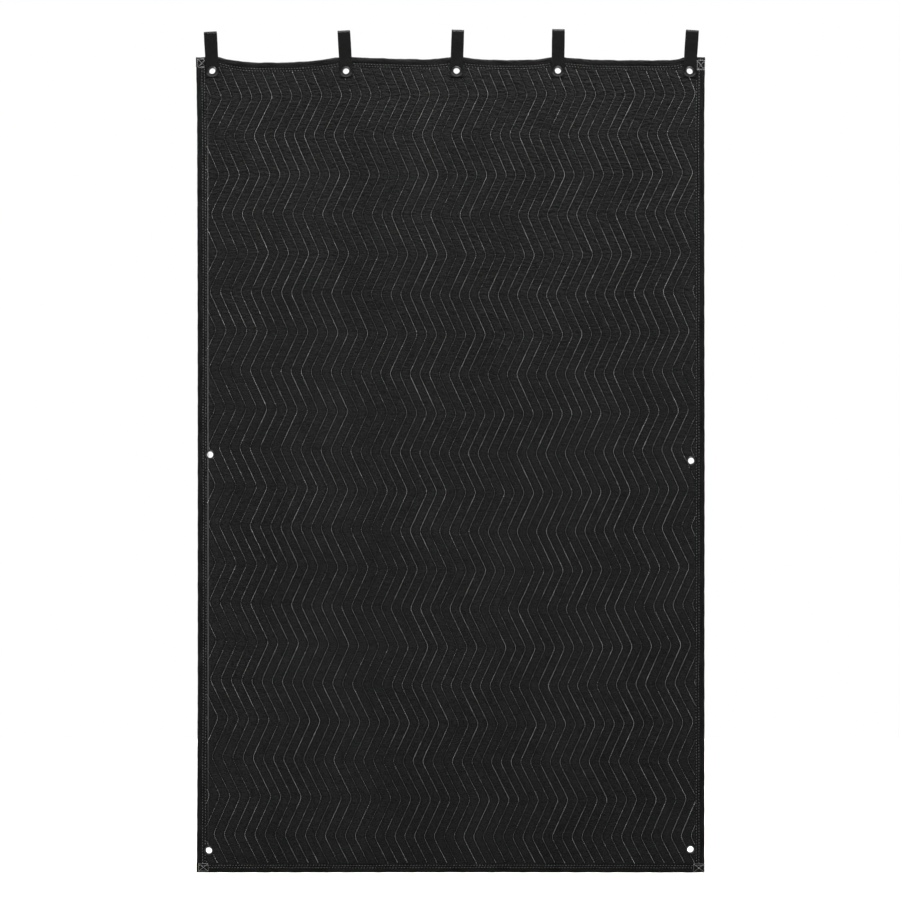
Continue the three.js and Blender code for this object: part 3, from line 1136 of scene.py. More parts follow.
@dataclass(frozen=True)
class Binding:
    """One length of tape folded over an edge.

    Its section goes down the front leaf, round the fold and up the back one.
    """

    name: str
    outline: Outline
    width: float = 0.028
    skin: float = 0.0011
    fold: float = 0.0030
    face: float = 0.0033
    roll: float = 0.0007
    roll_at: float = 0.0085
    roll_width: float = 0.0045
    rolled: tuple[float, ...] = (0.0125, 0.0100, 0.0075, 0.0050, 0.0034, 0.0022, 0.0013, 0.0005, 0.0001)
    rows: Pair = (0.0165, 0.0245)
    groove: float = 0.0004
    groove_width: float = 0.0011
    groove_side: float = 0.0013
    drawn: float = 0.0004
    drawn_from: Pair = (0.012, 0.020)
    station: float = 0.006
    lumps: float = 0.0004
    lump_length: float = 0.085
    lumps_within: float = 0.012
    stray: float = 0.0006
    stray_length: float = 0.34
    stray_from: Pair = (0.015, 0.028)
    swell: float = 0.06
    swell_length: float = 0.11
    swell_from: Pair = (0.0, 0.01)
    proud: float = 0.0001
    seed: float = 1.0

    def half_depth(self, inset: np.ndarray) -> np.ndarray:
        """How far the tape's outer face stands from the cloth's middle.

        A quarter ellipse at the fold, a soft roll behind it, and a groove under each row of stitches.

        Args:
            inset: distances inside the edge.

        Returns:
            The depth at each of them.
        """
        t = np.clip(inset / self.fold, 0.0, 1.0)
        round_off = np.sqrt(np.clip(1.0 - (1.0 - t) ** 2, 0.0, 1.0))
        bulge = self.roll * np.exp(-(((inset - self.roll_at) / self.roll_width) ** 2))
        grooves = sum(self.groove * np.exp(-(((inset - row) / self.groove_width) ** 2)) for row in self.rows)
        drawn_in = self.drawn * smooth(*self.drawn_from, inset)
        return self.face * round_off + bulge * smooth(0.0, self.fold, inset) - grooves - drawn_in

    def section(self) -> tuple[np.ndarray, np.ndarray]:
        """The tape's outer and inner lines, from the front leaf's edge round to the back one's.

        The inner line is the outer one moved along its normal by the tape's thickness.

        Returns:
            Inset and depth of each point, of the outer line and of the inner one.
        """
        beside = (self.groove_side, 0.0, -self.groove_side)
        grooved = [row + step for row in self.rows[::-1] for step in beside]
        between = (self.rows[0] + self.rows[1]) / 2.0
        leaf = [self.width, self.width - 0.0006, *grooved[:3], between, *grooved[3:], *self.rolled]
        inset = np.array(leaf)
        depth = self.half_depth(inset)
        front = np.stack([inset, -depth], axis=-1)
        outer = np.concatenate([front, [[0.0, 0.0]], (front * [1.0, -1.0])[::-1]])
        along = unit(np.gradient(outer, axis=0))
        inner = outer + self.skin * np.stack([along[:, 1], -along[:, 0]], axis=-1)
        inner[:, 0] = np.minimum(np.maximum(inner[:, 0], self.skin), self.width)
        return outer, inner

    def path(self) -> tuple[np.ndarray, np.ndarray]:
        """The edge that the tape covers, as x and z of each station, and the way inwards from it."""
        raise NotImplementedError

    def stations(self, z: float) -> np.ndarray:
        """Even stations at a height, from the left edge to the right one."""
        left, right = (float(self.outline.side(z, side)) for side in Side)
        return np.linspace(left, right, int((right - left) / self.station))

    def run(self) -> np.ndarray:
        """How far along the edge each station is."""
        return travelled(self.path()[0])

    def stand(self, along: np.ndarray, inset: np.ndarray, depth: np.ndarray) -> np.ndarray:
        """Places points of the tape, with the unevenness of its fold, its leaves' edges and its thickness.

        A point stands at the edge + its inset times the way inwards, as deep as given, times a slow swell.

        Args:
            along: how far along the edge each point is.
            inset: how far inside the edge.
            depth: how far behind the cloth's middle, negative in front of it.

        Returns:
            x, y and z of each point.
        """
        edge, inwards = self.path()
        leaf = self.seed + np.where(depth < 0.0, 0.0, 9.0)
        lump = self.lumps * wander(along, self.lump_length, self.seed) * smooth(self.lumps_within, 0.0, inset)
        stray = self.stray * wander(along, self.stray_length, leaf) * smooth(*self.stray_from, inset)
        wave = wander(along, self.swell_length, leaf + 3.0)
        swell = 1.0 + self.swell * wave * smooth(*self.swell_from, inset)
        x = np.interp(along, self.run(), edge[:, 0]) + inwards[0] * (inset + lump + stray)
        z = np.interp(along, self.run(), edge[:, 1]) + inwards[1] * (inset + lump + stray)
        return np.stack([x, hang(x, z) + depth * swell, z], axis=-1)

    def shape(self) -> Shape:
        """Carries the section along the edge and closes its two ends.

        Returns:
            The tape. Its UV is the way along the edge and the distance inside it.
        """
        outer, inner = self.section()
        loop = np.concatenate([outer, inner[::-1]])
        along = self.run()[:, None] + 0.0 * loop[None, :, 0]
        inset = loop[None, :, 0] + 0.0 * along
        steps, count = along.shape
        points = self.stand(along, inset, loop[None, :, 1] + 0.0 * along).reshape(-1, 3)
        uv = np.stack([along, inset], axis=-1).reshape(-1, 2)
        k = np.arange(count // 2 - 1)
        cap = np.stack([k, k + 1, count - 2 - k, count - 1 - k], axis=-1)
        last = (steps - 1) * count
        faces = [grid_faces(steps, count, wrap_columns=True), cap[:, ::-1], cap + last]
        return Shape(points, faces, uv).outward()

    def on_face(self, along: np.ndarray, inset: np.ndarray, face: Face) -> np.ndarray:
        """Points a little proud of the tape's face, at places along the edge and inside it."""
        return self.stand(along, inset, face.value * (self.half_depth(inset) + self.proud))


@dataclass(frozen=True)
class TopBinding(Binding):
    """The tape along the scalloped top edge, from corner to corner."""

    width: float = 0.0295
    rows: Pair = (0.0197, 0.0266)
    roll: float = 0.0011
    lumps: float = 0.0008
    station: float = 0.005

    def path(self) -> tuple[np.ndarray, np.ndarray]:
        """Follows the top edge to the right."""
        x = self.stations(self.outline.corner_z)
        return np.stack([x, self.outline.top(x)], axis=-1), np.array([0.0, -1.0])


@dataclass(frozen=True)
class BottomBinding(Binding):
    """The tape along the level bottom edge, from corner to corner."""

    rows: Pair = (0.0152, 0.0222)

    def path(self) -> tuple[np.ndarray, np.ndarray]:
        """Follows the bottom edge to the right."""
        x = self.stations(self.outline.bottom_z)
        return np.stack([x, np.full(x.shape, self.outline.bottom_z)], axis=-1), np.array([0.0, 1.0])


@dataclass(frozen=True)
class SideBinding(Binding):
    """The tape along one upright edge, butted on the top and bottom tapes."""

    side: Side = Side.LEFT
    rows: Pair = (0.0172, 0.0250)

    def path(self) -> tuple[np.ndarray, np.ndarray]:
        """Follows the upright edge down.

        Returns:
            x and z of each station, and the way inwards.
        """
        top = self.outline.corner_z - TopBinding.width - GAP
        bottom = self.outline.bottom_z + self.width + GAP
        z = np.linspace(top, bottom, int((top - bottom) / self.station))
        return np.stack([self.outline.side(z, self.side), z], axis=-1), np.array([self.side.value, 0.0])


@dataclass(frozen=True)
class Loop:
    """A strap of webbing folded over the place of a rod, its two legs clinched by an eyelet."""

    place: Fitting
    width: float = 0.038
    thickness: float = 0.0015
    tail: float = 0.0188
    inside: float = 0.0037
    sewn_top: float = 0.044
    opens_over: float = 0.045
    arch: float = 0.008
    hole: float = 0.0109
    flange: float = 0.0140
    dimple: float = 0.0012
    lift: float = 0.0012
    lip: float = 0.0006
    selvedge: float = 0.72
    slack: float = 0.0004
    waist: float = 0.012
    wavy: float = 0.006
    leg_parts: Pair = (0.022, 0.025)
    leg_points: tuple[int, int] = (31, 18)
    crown_points: int = 15
    shares: tuple[float, ...] = (1.0, 0.975, 0.93, 0.86, 0.77, 0.67, 0.56, 0.45, 0.34, 0.23, 0.115)

    def centre_line(self) -> np.ndarray:
        """The strap's middle line, from the front leg's end over the crown to the back one's.

        Each leg's half gap eases from where it is sewn to the arch's radius, and the crown is a half circle.

        Returns:
            Depth, and height over the eyelet, of each point.
        """
        rise = self.place.crown + self.lift - self.place.z
        spring = rise - self.thickness - self.arch
        low = np.linspace(-self.tail, self.leg_parts[0], self.leg_points[0])
        h = np.concatenate([low, np.linspace(self.leg_parts[1], spring, self.leg_points[1])])
        radius = self.arch + self.thickness / 2.0
        sewn = self.inside + self.thickness / 2.0
        half = sewn + (radius - sewn) * smooth(self.sewn_top, self.sewn_top + self.opens_over, h)
        turn = np.linspace(0.0, np.pi, self.crown_points)[1:-1]
        crown = np.stack([-radius * np.cos(turn), spring + radius * np.sin(turn)], axis=-1)
        front = np.stack([-half, h], axis=-1)
        return np.concatenate([front, crown, (front * [-1.0, 1.0])[::-1]])

    def shape(self) -> Shape:
        """Spreads the middle line over the strap's width, and leans it about the eyelet.

        The strap is thinner at its selvedges. Round the eyelet both legs are dished by its flange, and their
        cut ends curl a little away from the cloth.

        Returns:
            The strap. Its UV is the way across it and the way from its nearer cut end.
        """
        line = self.centre_line()
        ahead = unit(np.gradient(line, axis=0))
        normal = np.stack([-ahead[:, 1], ahead[:, 0]], axis=-1)
        share = np.array(self.shares)
        across = np.concatenate([-share, [0.0], share[::-1]]) * self.width / 2.0
        u, v = across[None, :], line[:, None, 1]
        leg = np.sign(line[:, None, 0]) * smooth(self.sewn_top, self.sewn_top - 0.01, v)
        away = np.hypot(u, v)
        dished = smooth(self.flange - 0.0002, self.flange + 0.0040, away) * smooth(0.040, 0.020, np.abs(v))
        stand = self.dimple * dished + self.lip * smooth(-self.tail + 0.006, -self.tail, v)
        slack = self.slack * wander(v, 0.05, 10.0 * self.place.x) * smooth(0.0, 0.02, v)
        y = line[:, None, 0] + leg * stand + slack
        full = smooth(1.0, 0.93, np.abs(u) / (self.width / 2.0))
        thick = self.thickness * (self.selvedge + (1.0 - self.selvedge) * full)
        thick = thick + 0.0 * v
        wavy = self.wavy * wander(v, 0.07, 20.0 * self.place.x)
        waist = 1.0 - self.waist * smooth(0.06, 0.11, v) + wavy
        faces = []
        for sign in (-1.0, 1.0):
            depth = y + sign * thick / 2.0 * normal[:, None, 0]
            height = v + sign * thick / 2.0 * normal[:, None, 1]
            faces.append(np.stack([u * waist, depth, height + 0.0 * u], axis=-1))
        keep = open_holes(faces[0], faces[1], [(0.0, 0.0)], self.hole)
        run = travelled(line)
        run = np.minimum(run, run[-1] - run)
        uv = np.stack([u + 0.0 * v, run[:, None] + 0.0 * u], axis=-1)
        made = closed_sheet(faces[0], faces[1], keep, uv)
        lean = math.radians(self.place.lean)
        x, z = made.points[:, 0].copy(), made.points[:, 2].copy()
        made.points[:, 0] = self.place.x + x * math.cos(lean) - z * math.sin(lean)
        made.points[:, 2] = self.place.z + x * math.sin(lean) + z * math.cos(lean)
        return made


@dataclass(frozen=True)
class Eyelet:
    """A flanged barrel and the washer that its end is rolled over.

    on_loop and on_cloth are half the thickness that it is clinched through: a loop's two legs with the cloth
    between them, or the pressed cloth.
    """

    place: Fitting
    bore: float = 0.0095
    barrel: float = 0.0104
    flange: float = 0.0135
    lip: float = 0.0118
    skin: float = 0.0009
    crest: float = 0.0005
    washer_skin: float = 0.0008
    on_loop: float = 0.0052
    on_cloth: float = 0.0034
    steps: int = 48

    def face(self) -> float:
        """How far its flange and its washer each lie from the cloth's middle."""
        return self.on_loop if self.place.crown is not None else self.on_cloth

    def centre(self) -> Triple:
        """Where its axis crosses the cloth's middle."""
        x, z = self.place.x, self.place.z
        return x, float(hang(np.array(x), np.array(z))), z

    def barrel_shape(self) -> Shape:
        """The barrel. Its section is rounded, so the flange is a soft bead that falls to a thin rim.

        Returns:
            The ring.
        """
        front = -(self.face() + GAP)
        end = self.face() + 2.0 * GAP + self.washer_skin
        corners = [
            (self.bore, front - 0.5 * self.skin),
            (self.bore, end - 0.0006),
            (self.bore, end + 0.0005),
            (self.bore + 0.0008, end + 0.0009),
            (self.lip - 0.0004, end + 0.0007),
            (self.lip, end + 0.0001),
            (self.barrel + 0.0002, end),
            (self.barrel, end - 0.0004),
            (self.barrel, front + 0.0006),
            (self.barrel + 0.0002, front),
            (self.flange - 0.0002, front),
            (self.flange, front - 0.0003),
            (self.flange - 0.0009, front - self.skin),
            (self.barrel + 0.0009, front - self.skin - self.crest),
            (self.bore + 0.0005, front - self.skin - self.crest),
            (self.bore, front - self.skin),
        ]
        return turned(cut_corners(np.array(corners), 1), self.centre(), self.steps)

    def washer_shape(self) -> Shape:
        """The washer, which is domed away from the cloth.

        Returns:
            The ring.
        """
        start = self.face() + GAP
        inner = self.barrel + GAP
        corners = [
            (inner, start),
            (inner, start + 0.9 * self.washer_skin),
            (inner + 0.0006, start + self.washer_skin),
            (self.flange - 0.0011, start + self.washer_skin),
            (self.flange - 0.0001, start + 0.4 * self.washer_skin),
            (self.flange, start),
        ]
        return turned(cut_corners(np.array(corners), 1), self.centre(), self.steps)


@dataclass(frozen=True)
class Stitch:
    """The form of one stitch: a short length of thread that dips into the cloth at both ends."""

    radius: float
    sides: int
    rings: tuple[Triple, ...]
    sunk: float = 0.0005

    def run(self, starts: np.ndarray, ends: np.ndarray, face: Face, shade: np.ndarray) -> Shape:
        """Makes every stitch at once: rings round the line from start to end, and a point at each end.

        A ring at share t, size s and lift l stands round start + t(end - start) + l outwards, s radii wide.

        Args:
            starts: (n, 3) where the stitches come out.
            ends: (n, 3) where they go in.
            face: which way is outwards.
            shade: (n,) how light each is, 0 to 1.

        Returns:
            All the stitches as one shape.
        """
        count, rings, sides = len(starts), len(self.rings), self.sides
        out = np.tile([0.0, face.value, 0.0], (count, 1))
        aside = unit(np.cross(unit(ends - starts), out))
        angle = np.pi / 2.0 + 2.0 * np.pi * np.arange(sides) / sides
        points = [starts - self.sunk * out]
        for share, size, lift in self.rings:
            centre = starts + share * (ends - starts) + lift * out
            for a in angle:
                points.append(centre + size * self.radius * (np.cos(a) * aside + np.sin(a) * out))
        points.append(ends - self.sunk * out)
        each = len(points)
        cloud = np.stack(points, axis=1).reshape(-1, 3)
        k = np.arange(sides)
        after = (k + 1) % sides
        first = np.stack([np.zeros(sides, int), 1 + after, 1 + k], axis=-1)
        base = 1 + (rings - 1) * sides
        last = np.stack([np.full(sides, each - 1), base + k, base + after], axis=-1)
        ring = np.arange(rings - 1)[:, None] * sides + 1
        corners = (ring + k, ring + after, ring + after + sides, ring + k + sides)
        tube = np.stack(corners, axis=-1).reshape(-1, 4)
        step = each * np.arange(count)[:, None, None]
        faces = [(np.concatenate([first, last])[None] + step).reshape(-1, 3)]
        if rings > 1:
            faces.append((tube[None] + step).reshape(-1, 4))
        return Shape(cloud, faces, None, np.repeat(shade, each)).outward()


# The rings of each kind of stitch: share along it, size and lift.
ROUND_STITCH = ((0.22, 0.85, 0.00012), (0.5, 1.0, 0.0003), (0.78, 0.85, 0.00012))
PLAIN_STITCH = ((0.18, 0.9, 0.00018), (0.82, 0.9, 0.00018))
SHORT_STITCH = ((0.5, 1.15, 0.0002),)


@dataclass(frozen=True)
class QuiltingThread:
    """The stitches of the zigzag lines on one face."""

    blanket: Blanket
    face: Face
    pitch: float = 0.0060
    share: float = 0.92
    fall: float = 0.917
    radius: float = 0.00046
    past_binding: float = 0.0006
    past_eyelet: float = 0.0142
    beside_loop: float = 0.0200
    below_loop: float = 0.0202
    tone: float = 0.485
    own: float = 0.095
    waves: Pair = (0.24, 0.14)
    wavelengths: Pair = (0.37, 0.09)
    single: float = 0.12
    patchy: float = 0.08
    darkest: float = 0.08
    contrast: float = 1.5
    inside: float = 0.02

    def visible(self, x: np.ndarray, z: np.ndarray) -> np.ndarray:
        """Finds the places that no binding, loop or eyelet covers.

        Args:
            x: places across.
            z: heights.

        Returns:
            Whether each place shows.
        """
        outline = self.blanket.outline
        seen = outline.inset(x, z) > Binding.width + self.past_binding
        seen &= outline.top(x) - z > TopBinding.width + self.past_binding
        for place in self.blanket.fittings:
            seen &= np.hypot(x - place.x, z - place.z) > self.past_eyelet
            if place.crown is not None:
                seen &= (np.abs(x - place.x) > self.beside_loop) | (z < place.z - self.below_loop)
        return seen

    def shade(self, line: np.ndarray, x: np.ndarray, z: np.ndarray) -> np.ndarray:
        """How light each stitch is: each line wanders about its own tone, and single stitches differ.

        Args:
            line: the line's number, one line to a row.
            x: places across.
            z: heights.

        Returns:
            0 to 1 for each stitch.
        """
        chance = np.random.default_rng(7 if self.face is Face.FRONT else 8)
        own = self.tone + self.own * chance.standard_normal((line.shape[0], 1))
        phase = 6.3 * chance.random((line.shape[0], 1))
        long, short = self.wavelengths
        slow = self.waves[0] * wander(z, long, phase) + self.waves[1] * wander(z, short, 2.0 * phase)
        single = self.single * chance.standard_normal(line.shape)
        thin = self.patchy * patches(x, z, 0.25, 2.0)
        # Dimmer stitches are partly painted shade, for thread that dips into the cloth.
        return np.clip(own + slow + single + thin, self.darkest, 1.0) ** self.contrast

    def halves(self) -> list[Shape]:
        """Sews every line. Each starts its stitches at a height of its own.

        Returns:
            The stitches left of the middle as one shape, and those right of it.
        """
        q, outline = self.blanket.quilting, self.blanket.outline
        fall = self.pitch * self.fall
        heights = np.arange(outline.corner_z - self.inside, outline.bottom_z + self.inside, -fall)
        z, line = np.meshgrid(heights, np.arange(q.first_line, q.last_line + 1, dtype=float))
        z = z - fall * (0.5 + 0.5 * np.sin(7.7 * line))
        stitch = Stitch(self.radius, 3, PLAIN_STITCH if self.face is Face.FRONT else SHORT_STITCH)
        ends = []
        for step in (0.5, -0.5):
            zz = z + step * fall * self.share
            xx = q.x(line, zz)
            y = hang(xx, zz) + self.face.value * self.blanket.half_thickness(line, xx, zz)
            ends.append(np.stack([xx, y, zz], axis=-1))
        x = q.x(line, z)
        seen = self.visible(x, z)
        shade = self.shade(line, x, z)
        halves = []
        for chosen in (seen & (x < 0.0), seen & (x >= 0.0)):
            halves.append(stitch.run(ends[0][chosen], ends[1][chosen], self.face, shade[chosen]))
        return halves


@dataclass(frozen=True)
class CornerBox:
    """A box of stitches with a cross in it at one end of a tape.

    It reaches from near to far along the tape and from low to high inside its edge. Its inner side is sewn
    once more at again, and tone is how light its thread is.
    """

    near: float
    far: float
    low: float
    high: float
    again: float
    tone: float

    def lines(self) -> list[tuple[Pair, Pair]]:
        """Its four sides, both diagonals and the second line along its inner side.

        Returns:
            Start and end of each line, as the way along the edge and inside it.
        """
        near, far = self.near, self.far
        outer = [(near, self.low), (far, self.low), (far, self.high), (near, self.high)]
        sides = list(zip(outer, outer[1:] + outer[:1]))
        cross = [(outer[0], outer[2]), (outer[1], outer[3])]
        return [*sides, *cross, ((near, self.again), (far, self.again))]


@dataclass(frozen=True)
class Seams:
    """The stitches on the bindings: a double row along each, and a box with a cross in it at each corner."""

    bindings: list[Binding]
    fittings: list[Fitting]
    pitch: float = 0.0086
    length: float = 0.0042
    box_pitch: float = 0.0050
    box_length: float = 0.0044
    top_boxes: tuple[CornerBox, CornerBox] = (
        CornerBox(0.0050, 0.0310, 0.0060, 0.0318, 0.0293, 0.36),
        CornerBox(0.0015, 0.0235, 0.0105, 0.0395, 0.0370, 0.34),
    )
    bottom_boxes: tuple[CornerBox, CornerBox] = (
        CornerBox(0.0065, 0.0350, 0.0050, 0.0277, 0.0222, 0.28),
        CornerBox(0.0015, 0.0330, 0.0026, 0.0270, 0.0222, 0.28),
    )
    ends: float = 0.036
    tone: float = 0.18
    radius: float = 0.00050
    past_eyelet: float = 0.0165
    beside_loop: float = 0.0215
    below_loop: float = 0.024
    uneven: Pair = (0.5, 0.25)
    strays: Pair = (0.0007, 0.0003)
    stray_lengths: Pair = (0.9, 0.2)
    darkest: float = 0.05

    def on_tape(self, binding: Binding, place: np.ndarray, face: Face) -> np.ndarray:
        """Points on a tape's face, and past the top tape's inner edge on the side tape that meets it there.

        Args:
            binding: the tape.
            place: (n, 2), the way along the edge and inside it.
            face: the front or the back.

        Returns:
            x, y and z of each point.
        """
        along, inset = place.T
        points = binding.on_face(along, inset, face)
        past = inset - binding.width - GAP
        length = binding.run()[-1]
        for side, beside in ((self.bindings[2], along), (self.bindings[3], length - along)):
            beyond = (past > 0.0) & (beside < length / 2.0)
            points = np.where(beyond[:, None], side.on_face(past, beside, face), points)
        return points

    def sewn(self, binding: Binding, face: Face, places: np.ndarray, tone: float, seed: float) -> Shape:
        """Sews stitches on a binding.

        Args:
            binding: the tape under them.
            face: the front or the back.
            places: (2, n, 2), each stitch's start and end, as the way along the edge and inside it.
            tone: how light the thread is on the whole.
            seed: of its unevenness.

        Returns:
            The stitches that no loop or eyelet covers.
        """
        middle = self.on_tape(binding, places.mean(axis=0), face)
        clear = np.ones(len(middle), bool)
        for place in self.fittings:
            right, up = middle[:, 0] - place.x, middle[:, 2] - place.z
            if place.crown is not None:
                clear &= (np.abs(right) > self.beside_loop) | (up < -self.below_loop)
            clear &= np.hypot(right, up) > self.past_eyelet
        chance = np.random.default_rng(int(100 * seed))
        slow = self.uneven[0] * wander(places[0, :, 0], 0.12, seed)
        spread = slow + self.uneven[1] * chance.standard_normal(len(middle))
        shade = np.clip(tone * (1.0 + spread), self.darkest, 1.0)
        starts, ends = (self.on_tape(binding, place[clear], face) for place in places)
        return Stitch(self.radius, 5, ROUND_STITCH).run(starts, ends, face, shade[clear])

    def rows(self, face: Face) -> list[Shape]:
        """The double row along each binding, wandering a little from its even distance.

        Args:
            face: the front or the back.

        Returns:
            One shape for each row.
        """
        shapes = []
        for number, binding in enumerate(self.bindings):
            length = binding.run()[-1]
            spare = self.ends if isinstance(binding, (TopBinding, BottomBinding)) else 0.0
            first = spare
            if isinstance(binding, SideBinding):
                first = self.top_boxes[number - 2].high - TopBinding.width
            for k, inset in enumerate(binding.rows):
                seed = 30.0 + 3.0 * number + 1.3 * k + face.value
                middle = np.arange(first + 0.3 * self.pitch * (1 + k), length - spare, self.pitch)
                ends = []
                for step in (-0.5, 0.5):
                    along = middle + step * self.length
                    far = self.strays[0] * wander(along, self.stray_lengths[0], seed - 1.3 * k)
                    near = self.strays[1] * wander(along, self.stray_lengths[1], seed)
                    ends.append(np.stack([along, inset + (far + near)], axis=-1))
                shapes.append(self.sewn(binding, face, np.array(ends), self.tone, seed))
        return shapes

    def crosses(self, face: Face) -> list[Shape]:
        """The boxes at the corners, two on the top tape and two on the bottom one.

        Args:
            face: the front or the back.

        Returns:
            One shape for each line of each box.
        """
        shapes = []
        for number, boxes in enumerate((self.top_boxes, self.bottom_boxes)):
            binding = self.bindings[number]
            length = binding.run()[-1]
            for side, box in zip(Side, boxes):
                for k, line in enumerate(box.lines()):
                    start, end = np.array(line)
                    reach = np.linalg.norm(end - start)
                    ahead = (end - start) / reach
                    middle = np.arange(0.5 * self.box_pitch, reach, self.box_pitch)[:, None]
                    ends = [middle + step * self.box_length for step in (-0.5, 0.5)]
                    places = np.stack([start + way * ahead for way in ends])
                    if side is Side.RIGHT:
                        places[..., 0] = length - places[..., 0]
                    seed = 60.0 + 9.0 * number + k + 4.0 * side.value + face.value
                    shapes.append(self.sewn(binding, face, places, box.tone, seed))
        return shapes

    def shape(self, face: Face) -> Shape:
        """All the stitches on one face."""
        return joined(self.rows(face) + self.crosses(face))


@dataclass(frozen=True)
class Curtain:
    """The whole curtain: its pieces in the order in which a maker would put them together."""

    workshop: Workshop
    outline: Outline
    quilting: Quilting
    fittings: list[Fitting]

    def build(self) -> list[bpy.types.Object]:
        """Returns:
            The pieces.
        """
        cloth_nodes = ["quilted_panel", "side_strip_left", "side_strip_right"]
        cloth_nodes += [f"heading_strip_{i + 1}" for i in range(len(LOOPS))]
        blanket = Blanket(self.outline, self.quilting, self.fittings)
        cloth = self.workshop.piece("quilted_cloth", blanket.shape(), Slot.CLOTH, tuple(cloth_nodes))
        threads = self.quilting_threads(blanket)
        bindings = self.bindings()
        tapes = [self.tape(binding) for binding in bindings]
        seams = [self.seam(bindings, face) for face in Face]
        loops = [self.loop(place) for place in self.fittings if place.crown is not None]
        rings = [ring for place in self.fittings for ring in self.eyelet(place)]
        return [cloth, *threads, *tapes, *seams, *loops, *rings]

    def bindings(self) -> list[Binding]:
        """The four lengths of tape.

        Returns:
            The top and bottom ones, and then the left and right ones.
        """
        return [
            TopBinding("binding_top", self.outline, seed=1.0),
            BottomBinding("binding_bottom", self.outline, seed=2.0),
            SideBinding("binding_left", self.outline, seed=3.0, side=Side.LEFT),
            SideBinding("binding_right", self.outline, seed=4.0, side=Side.RIGHT),
        ]

    def quilting_threads(self, blanket: Blanket) -> list[bpy.types.Object]:
        """The zigzag stitches of both faces, left and right of the middle.

        Args:
            blanket: the cloth that they go through.

        Returns:
            Four pieces.
        """
        made = []
        for face in Face:
            for side, shape in zip(Side, QuiltingThread(blanket, face).halves()):
                name = f"quilting_thread_{face.name}_{side.name}".lower()
                made.append(self.workshop.piece(name, shape, Slot.CLOTH, thread=True))
        return made

    def tape(self, binding: Binding) -> bpy.types.Object:
        """One binding.

        Args:
            binding: the tape.

        Returns:
            The piece.
        """
        made = self.workshop.piece(binding.name + "_tape", binding.shape(), Slot.BINDING, (binding.name,))
        outer, _ = binding.section()
        float(binding.run()[-1])
        return made

    def seam(self, bindings: list[Binding], face: Face) -> bpy.types.Object:
        """The bindings' stitches on one face."""
        shape = Seams(bindings, self.fittings).shape(face)
        return self.workshop.piece(f"binding_stitches_{face.name}".lower(), shape, Slot.BINDING, thread=True)

    def loop(self, place: Fitting) -> bpy.types.Object:
        """One loop.

        Args:
            place: its eyelet.

        Returns:
            The piece.
        """
        loop = Loop(place)
        made = self.workshop.piece("loop_" + place.name, loop.shape(), Slot.WEBBING, (place.name,))
        return made

    def eyelet(self, place: Fitting) -> list[bpy.types.Object]:
        """One eyelet and its washer.

        Args:
            place: where it goes.

        Returns:
            Two pieces.
        """
        eyelet = Eyelet(place)
        parts = {"eyelet_": eyelet.barrel_shape(), "washer_": eyelet.washer_shape()}
        return [
            self.workshop.piece("turned_" + kind + place.name, shape, Slot.EYELET, (kind + place.name,))
            for kind, shape in parts.items()
        ]


@dataclass(frozen=True)
class Lamp:
    """A large soft lamp that faces the curtain."""

    name: str
    place: Triple
    aim: Triple
    size: Pair
    watts: float

    def build(self) -> None:
        """Hangs the lamp, out of the camera's sight."""
        data = bpy.data.lights.new(self.name, "AREA")
        data.shape = "RECTANGLE"
        data.size, data.size_y = self.size
        data.energy = self.watts
        lamp = placed(self.name, data)
        lamp.location = self.place
        ray = Vector(self.aim) - Vector(self.place)
        lamp.rotation_euler = ray.to_track_quat("-Z", "Y").to_euler()
        lamp.visible_camera = False


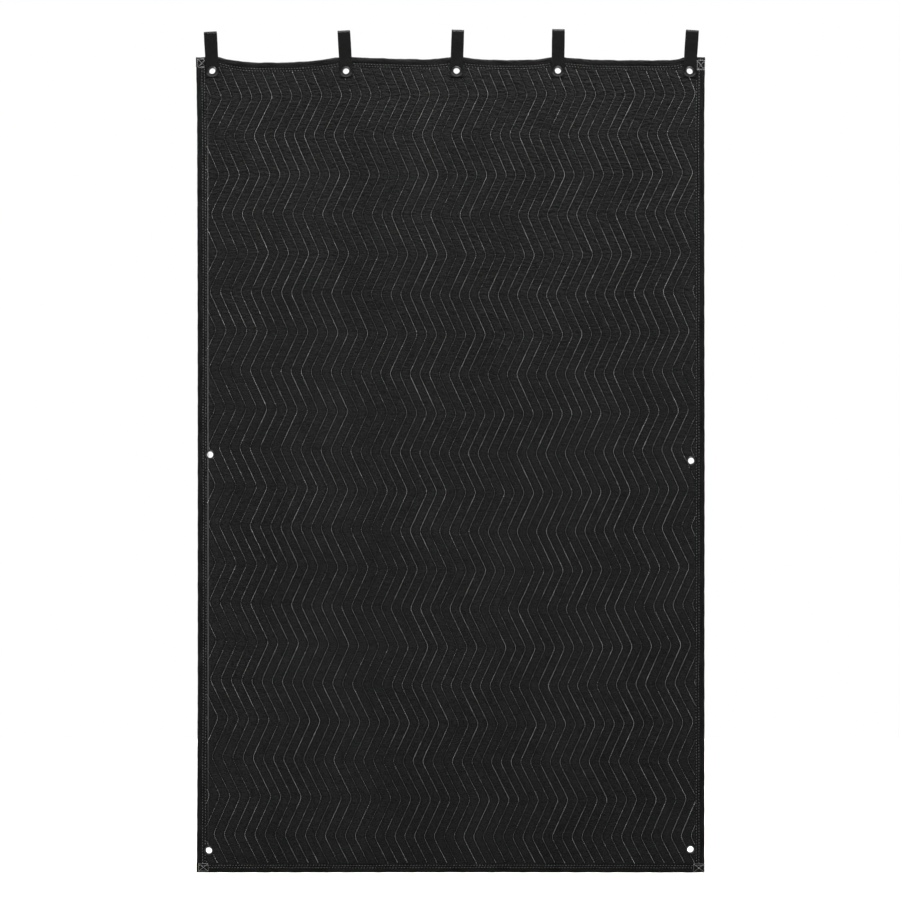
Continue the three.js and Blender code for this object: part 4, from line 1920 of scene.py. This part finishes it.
@dataclass(frozen=True)
class Studio:
    """A white room with a pale floor, soft lamps and the camera, level with the curtain's middle."""

    distance: float = 5.5
    view_width: float = 2.7
    sensor: float = 36.0
    eye: Pair = (-0.0026, -1.2615)
    floor_z: float = -2.60
    floor_size: float = 6.0
    room_light: float = 0.21
    lamps: tuple[Lamp, ...] = (
        Lamp("key_lamp", (0.5, -2.6, 2.5), (0.0, 0.0, -0.9), (1.6, 1.0), 485.0),
        Lamp("fill_lamp", (-2.8, -2.0, -1.3), (-0.4, 0.0, -1.5), (1.0, 1.0), 60.0),
        Lamp("back_lamp", (1.0, 2.8, 3.0), (0.0, 0.0, -1.1), (1.6, 1.0), 400.0),
        Lamp("top_lamp", (0.0, 0.15, 0.80), (0.0, 0.15, 0.0), (1.8, 0.12), 150.0),
    )

    def build(self) -> None:
        """Sets up the room, the floor, the lamps and the camera."""
        self.room()
        self.floor()
        for lamp in self.lamps:
            lamp.build()
        self.camera()
        bpy.context.scene.view_settings.view_transform = "Standard"
        LOG.info("studio: %d lamps", len(self.lamps))

    def room(self) -> None:
        """White all round. It is dimmer as a light than it looks."""
        world = bpy.data.worlds.new("white_room")
        bpy.context.scene.world = world
        world.use_nodes = True
        nodes, links = world.node_tree.nodes, world.node_tree.links
        seen = nodes.new("ShaderNodeBackground")
        seen.inputs["Color"].default_value = WHITE
        lights = nodes["Background"]
        lights.inputs["Color"].default_value = WHITE
        lights.inputs["Strength"].default_value = self.room_light
        path = nodes.new("ShaderNodeLightPath")
        mix = nodes.new("ShaderNodeMixShader")
        links.new(path.outputs["Is Camera Ray"], mix.inputs["Fac"])
        links.new(lights.outputs["Background"], mix.inputs[1])
        links.new(seen.outputs["Background"], mix.inputs[2])
        links.new(mix.outputs["Shader"], nodes["World Output"].inputs["Surface"])

    def floor(self) -> None:
        """A pale square below the curtain."""
        half = self.floor_size / 2.0
        corners = [(-half, -half), (half, -half), (half, half), (-half, half)]
        mesh = bpy.data.meshes.new("floor")
        mesh.from_pydata([(x, y, self.floor_z) for x, y in corners], [], [(0, 1, 2, 3)])
        mesh.materials.append(FloorPaint().build())
        floor = placed("floor", mesh)

    def camera(self) -> None:
        """Face on and level with the eye, with a lens that sees view_width at the curtain's plane."""
        data = bpy.data.cameras.new("camera")
        data.sensor_width = self.sensor
        data.lens = self.sensor * self.distance / self.view_width
        data.clip_end = 100.0
        camera = placed("camera", data)
        camera.location = (self.eye[0], -self.distance, self.eye[1])
        camera.rotation_euler = (math.pi / 2.0, 0.0, 0.0)
        bpy.context.scene.camera = camera


def main() -> None:
    """Loads the frame, dresses it and sets up the studio."""
    logging.basicConfig(level=logging.INFO, format="%(name)s: %(message)s")
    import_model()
    curtain = Curtain(Workshop(), Outline(), Quilting(), fittings())
    pieces = curtain.build()
    LOG.info("%d pieces", len(pieces))
    Studio().build()


if __name__ == "__main__":
    main()
